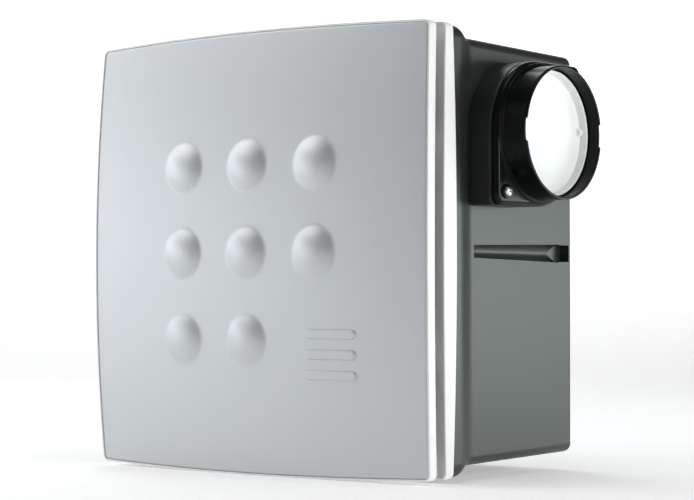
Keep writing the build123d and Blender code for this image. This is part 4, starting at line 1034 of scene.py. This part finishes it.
# %% Flap
FLAP_R = BORE_R - 1.0 * MM
FLAP_WALL = 1.5 * MM
FLAP_DEEP = 8.0 * MM
FLAP_SOFT = 0.3 * MM
FLAP_MIDDLE_R = 5.0 * MM
FLAP_STEPS = 160
PIVOT = Vector(next(j for j in frame["joints"] if j["name"] == "flap_swing")["pos_m"])
FLAP_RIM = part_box("backdraught_flap")[1].x
FLAP_BACK = FLAP_RIM - FLAP_DEEP
BOSS_PIN_R = 2.9 * MM


def make_flap():
    """The dish, from the middle of its back round the rim to the middle of its front."""
    soft = FLAP_SOFT
    inner_r = FLAP_R - FLAP_WALL
    floor = FLAP_BACK + FLAP_WALL
    outside = [(FLAP_BACK, FLAP_MIDDLE_R), (FLAP_BACK, FLAP_R - 1.2 * MM),
               (FLAP_BACK + 0.35 * MM, FLAP_R - 0.35 * MM), (FLAP_BACK + 1.2 * MM, FLAP_R)]
    rim = [(FLAP_RIM - soft, FLAP_R), (FLAP_RIM, FLAP_R - soft),
           (FLAP_RIM, inner_r + soft), (FLAP_RIM - soft, inner_r)]
    inside = [(floor + 1.6 * MM, inner_r), (floor + 0.5 * MM, inner_r - 0.5 * MM),
              (floor, inner_r - 1.6 * MM), (floor, FLAP_MIDDLE_R)]
    centre = Vector((0, SPIGOT_Y, SPIGOT_Z))
    return turned("flap_dish", centre, (1, 0, 0), outside + rim + inside, FLAP_STEPS)


def make_pin_boss(sign):
    """The thick place in the dish that holds a pin."""
    inner = FLAP_R - 5.3 * MM
    outer = FLAP_R - 0.4 * MM
    profile = [(inner, BOSS_PIN_R - 0.5 * MM), (inner + 0.4 * MM, BOSS_PIN_R), (outer, BOSS_PIN_R)]
    return turned("pin_boss", Vector((PIVOT.x, SPIGOT_Y, PIVOT.z)), (0, sign, 0), profile, 32)


flap_dish = place(make_flap(), "flap_white", "flap", "backdraught_flap")
place(join("flap_pin_bosses", [make_pin_boss(1), make_pin_boss(-1)]), "flap_white", "flap")
print("flap faces:", len(flap_dish.data.polygons), "pin above the duct's middle in mm:",
      round((PIVOT.z - SPIGOT_Z) / MM, 1))

# %% [markdown]
# ## Spigot screws
# Two pan-head screws hold the spigot's ears. The CAD screws are plain, and a cross painted on by a
# bump would vanish in the exported mesh. So the head is turned with a domed top, and the cross is
# cut out of it with two tapered blades, much as the punch that forms a real head does.

# %% Screws
HEAD_R = 3.8 * MM
HEAD_HIGH = 2.6 * MM
SHANK_R = 1.6 * MM
SCREW_LENGTH = 20 * MM
HEAD_STEPS = 8
CROSS_TURN = 0.4
BLADE_SECTIONS = ((0.25, 0.30, 0.10), (1.2, 0.62, 0.17))


def cross_blades(seat, axis):
    """Two crossed blades; a section is its height, half width and half thickness as head shares."""
    turn = axis.to_track_quat("Z", "X").to_matrix()
    blades = []
    for spin in (CROSS_TURN, CROSS_TURN + math.pi / 2):
        rings = []
        for height, wide, thick in BLADE_SECTIONS:
            corners = []
            for u, v in ((-wide, -thick), (wide, -thick), (wide, thick), (-wide, thick)):
                place_in_head = Vector((u * HEAD_R, v * HEAD_R, height * HEAD_HIGH))
                corners.append(seat + turn @ (Matrix.Rotation(spin, 3, "Z") @ place_in_head))
            rings.append(corners)
        blades.append(skin("blade", rings))
    return blades


def cross_head(name, seat, axis):
    """A pan-head screw whose head stands on seat and points along axis."""
    profile = [(-SCREW_LENGTH, 0.3 * SHANK_R), (-SCREW_LENGTH + 1.2 * MM, SHANK_R),
               (-0.2 * MM, SHANK_R), (0, HEAD_R * 0.96)]
    for i in range(1, HEAD_STEPS + 1):
        angle = math.pi / 2 * i / HEAD_STEPS
        high = HEAD_HIGH * math.sin(angle) ** 0.8
        profile.append((high, HEAD_R * max(math.cos(angle), 0.02) ** 0.45))
    body = turned(name, seat, axis, profile, 56)
    for blade in cross_blades(seat, axis):
        body = cut(body, [blade])
    return body


SPIGOT_SCREW_X = PLATE_X + PLATE_THICK + COLLAR_HIGH
spigot_screws = []
for a, b in SCREW_PLACES:
    seat = Vector((SPIGOT_SCREW_X, SPIGOT_Y + a, SPIGOT_Z + b))
    spigot_screws.append(cross_head("spigot_screw", seat, Vector((1, 0, 0))))
screw_pair = place(join("spigot_screw_pair", spigot_screws), "zinc", "housing", "spigot_screws")
print("screw faces:", len(screw_pair.data.polygons))

# %% [markdown]
# ## The filter pad
# A thin synthetic mat lies between two plastic grids, so it is held flat and swells only a little in
# each window. A cloth simulation would give that swelling too, but on a pad this thin it costs more
# time than it shows. So the mat has two fine faces whose height follows the windows, and a noise
# lifts the fibres.

# %% Filter mat
pad_low, pad_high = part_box("filter_pad")
WINDOWS = 6
MAT_ROWS = 60
MAT_CLEAR = 0.3 * MM
MAT_CORNER = 2 * MM
FLAT_SHARE = 0.72
PUFF_SHARE = 0.16
FIBRE_SHARE = 0.10
FIBRE_SCALE = 160.0


def make_mat():
    """Front and back of the mat, planked in square rings from the middle out and back in."""
    half = (pad_high.x - pad_low.x) / 2
    middle = (pad_low.y + pad_high.y) / 2
    thick = (pad_high.y - pad_low.y) / 2
    outline = square(half - MAT_CLEAR, MAT_CORNER)
    rings = []
    for side in (-1, 1):
        face = []
        for i in range(1, MAT_ROWS + 1):
            ring = []
            for x, z in outline:
                x, z = x * i / MAT_ROWS, z * i / MAT_ROWS
                wave_x = math.cos(math.pi * WINDOWS * x / (2 * half))
                wave_z = math.cos(math.pi * WINDOWS * z / (2 * half))
                fibre = noise.noise(Vector((x, z, side)) * FIBRE_SCALE)
                level = thick * (FLAT_SHARE + PUFF_SHARE * abs(wave_x * wave_z) + FIBRE_SHARE * fibre)
                ring.append(Vector((x, middle + side * level, z)))
            face.append(ring)
        rings += face if side < 0 else face[::-1]
    return skin("filter_mat", rings, sharp_degrees=80)


filter_mat = place(make_mat(), "filter_mat", "filter", "filter_pad")
print("mat faces:", len(filter_mat.data.polygons))

# %% [markdown]
# ## Stage and light
# Product studios use a sheet of pale paper that lies flat and then curves up behind the object, so
# that no corner shows. A plain floor and a white world would be simpler, but black satin plastic
# shows only what it mirrors, and a world is the same all round. The sheet ends on the right, so
# the box's side can mirror a lamp there instead of paper.

# %% Shape of the stage
FLOOR_GAP = 0.0005
FLOOR_Z = cad_box[0].z - FLOOR_GAP
FLOOR_DROP = 0.002
FLOOR_HALF = 7.0
SWEEP_LEFT = -5.0
SWEEP_RIGHT = 1.0
SWEEP_NEAR = -3.0
SWEEP_REAR = 1.7
SWEEP_CURVE_R = 0.6
SWEEP_CURVE_STEPS = 16
SWEEP_TOP = 2.2
SWEEP_TURN = math.radians(39.4)


def make_stage():
    """Floor, curve and backdrop in one sheet, turned to face the camera."""
    profile = [(SWEEP_NEAR, 0.0), (SWEEP_REAR, 0.0)]
    for i in range(1, SWEEP_CURVE_STEPS + 1):
        angle = math.pi / 2 * i / SWEEP_CURVE_STEPS
        y = SWEEP_REAR + SWEEP_CURVE_R * math.sin(angle)
        profile.append((y, SWEEP_CURVE_R - SWEEP_CURVE_R * math.cos(angle)))
    profile.append((SWEEP_REAR + SWEEP_CURVE_R, SWEEP_TOP))
    turn = Matrix.Rotation(SWEEP_TURN, 3, "Z")
    ground = Vector((0, 0, FLOOR_Z))
    bm = bmesh.new()
    near, far = [[bm.verts.new(turn @ Vector((x, y, z)) + ground) for y, z in profile]
                 for x in (SWEEP_LEFT, SWEEP_RIGHT)]
    for i in range(len(profile) - 1):
        bm.faces.new((near[i], near[i + 1], far[i + 1], far[i]))
    return new_piece("studio_sweep", bm)


studio_sweep = make_stage()
wide = bmesh.new()
bmesh.ops.create_grid(wide, size=FLOOR_HALF, matrix=Matrix.Translation((0, 0, FLOOR_Z - FLOOR_DROP)))
studio_floor = new_piece("studio_floor", wide)
print("floor below the unit in mm:", round(FLOOR_GAP / MM, 2))

# %% [markdown]
# The paper should read as pure white without flooding the unit with light. Strong lamps on it would
# do both. So the paper glows a little by itself, more towards the top, where it is furthest from the
# unit. The glow is tied to the height above the floor.

# %% Finish of the stage
GLOW_HIGH = 0.25
GLOW_LOW_STRENGTH = 0.34
GLOW_HIGH_STRENGTH = 0.7

paper = finish_of("studio_paper", (0.88, 0.88, 0.88), 0.9, drift=0.004, grain_height=0.004, specular=0.05)
paper_nodes, paper_links = paper.node_tree.nodes, paper.node_tree.links
glow = paper_nodes["Principled BSDF"]
glow.inputs["Emission Color"].default_value = (1, 1, 1, 1)
place_parts = paper_nodes.new("ShaderNodeSeparateXYZ")
climb = paper_nodes.new("ShaderNodeMapRange")
climb.inputs["From Min"].default_value = FLOOR_Z
climb.inputs["From Max"].default_value = FLOOR_Z + GLOW_HIGH
climb.inputs["To Min"].default_value = GLOW_LOW_STRENGTH
climb.inputs["To Max"].default_value = GLOW_HIGH_STRENGTH
paper_links.new(paper_nodes["Mapping"].outputs["Vector"], place_parts.inputs["Vector"])
paper_links.new(place_parts.outputs["Z"], climb.inputs["Value"])
paper_links.new(climb.outputs["Result"], glow.inputs["Emission Strength"])
for sheet in (studio_sweep, studio_floor):
    sheet.data.materials.append(paper)
print("glow of the paper:", GLOW_LOW_STRENGTH, "to", GLOW_HIGH_STRENGTH)

# %% [markdown]
# The lamps are rectangular softboxes, as in a studio. Point lamps would light the unit as well, but
# their reflections are dots, and satin plastic shows the lamp's own shape. The two on the right make
# the grey sheen of the box's side. The weak ones in front lift the silver sheet, and the one at the
# top left shapes the domes. Each lamp is given by how bright its face is, so that changing its size
# doesn't change how it looks in a reflection.

# %% Lights
WHITE = (1.0, 1.0, 1.0)
COOL = (0.98, 0.99, 1.0)
AIR_STRENGTH = 0.12


def soft_light(name, stand, aim, size, radiance, colour=WHITE):
    """A rectangular softbox that faces its aim and is as bright as radiance all over."""
    data = bpy.data.lights.new(name, "AREA")
    data.shape = "RECTANGLE"
    data.size, data.size_y = size
    data.energy = radiance * math.pi * size[0] * size[1]
    data.color = colour
    lamp = bpy.data.objects.new(name, data)
    lamp.location = stand
    lamp.rotation_euler = (Vector(aim) - Vector(stand)).to_track_quat("-Z", "Y").to_euler()
    bpy.context.scene.collection.objects.link(lamp)


UNIT = (0.0, -0.15, 0.0)
soft_light("right_rear_softbox", (1.15, 1.02, -0.02), (0.15, -0.1, -0.06), (0.8, 0.42), 6.5,
           (0.87, 1.0, 0.96))
soft_light("front_left_softbox", (-1.6, -1.5, -0.05), UNIT, (1.5, 0.8), 1.75, (0.97, 0.99, 1.0))
soft_light("front_softbox", (0.2, -2.4, -0.1), UNIT, (1.4, 0.5), 0.3, COOL)
soft_light("left_softbox", (-1.9, -0.5, 0.55), UNIT, (1.6, 1.0), 1.5, COOL)
soft_light("top_left_softbox", (-1.2, -1.2, 1.1), UNIT, (1.3, 0.8), 2.6)
soft_light("overhead_softbox", (0.3, -0.2, 1.6), (0.05, -0.1, 0.0), (0.9, 0.9), 2.0)
soft_light("upper_rear_softbox", (-1.0, 0.5, 1.2), (0.15, -0.08, 0.08), (0.7, 0.7), 3.5, (0.93, 1.0, 0.99))
soft_light("right_softbox", (1.85, 0.0, 0.15), (0.15, -0.1, 0.0), (0.6, 1.0), 10.0)

world = bpy.data.worlds.new("studio_air")
bpy.context.scene.world = world
world.use_nodes = True
world.node_tree.nodes["Background"].inputs["Color"].default_value = (1, 1, 1, 1)
world.node_tree.nodes["Background"].inputs["Strength"].default_value = AIR_STRENGTH
bpy.context.scene.view_settings.view_transform = "Standard"
print("softboxes:", len(bpy.data.lights))
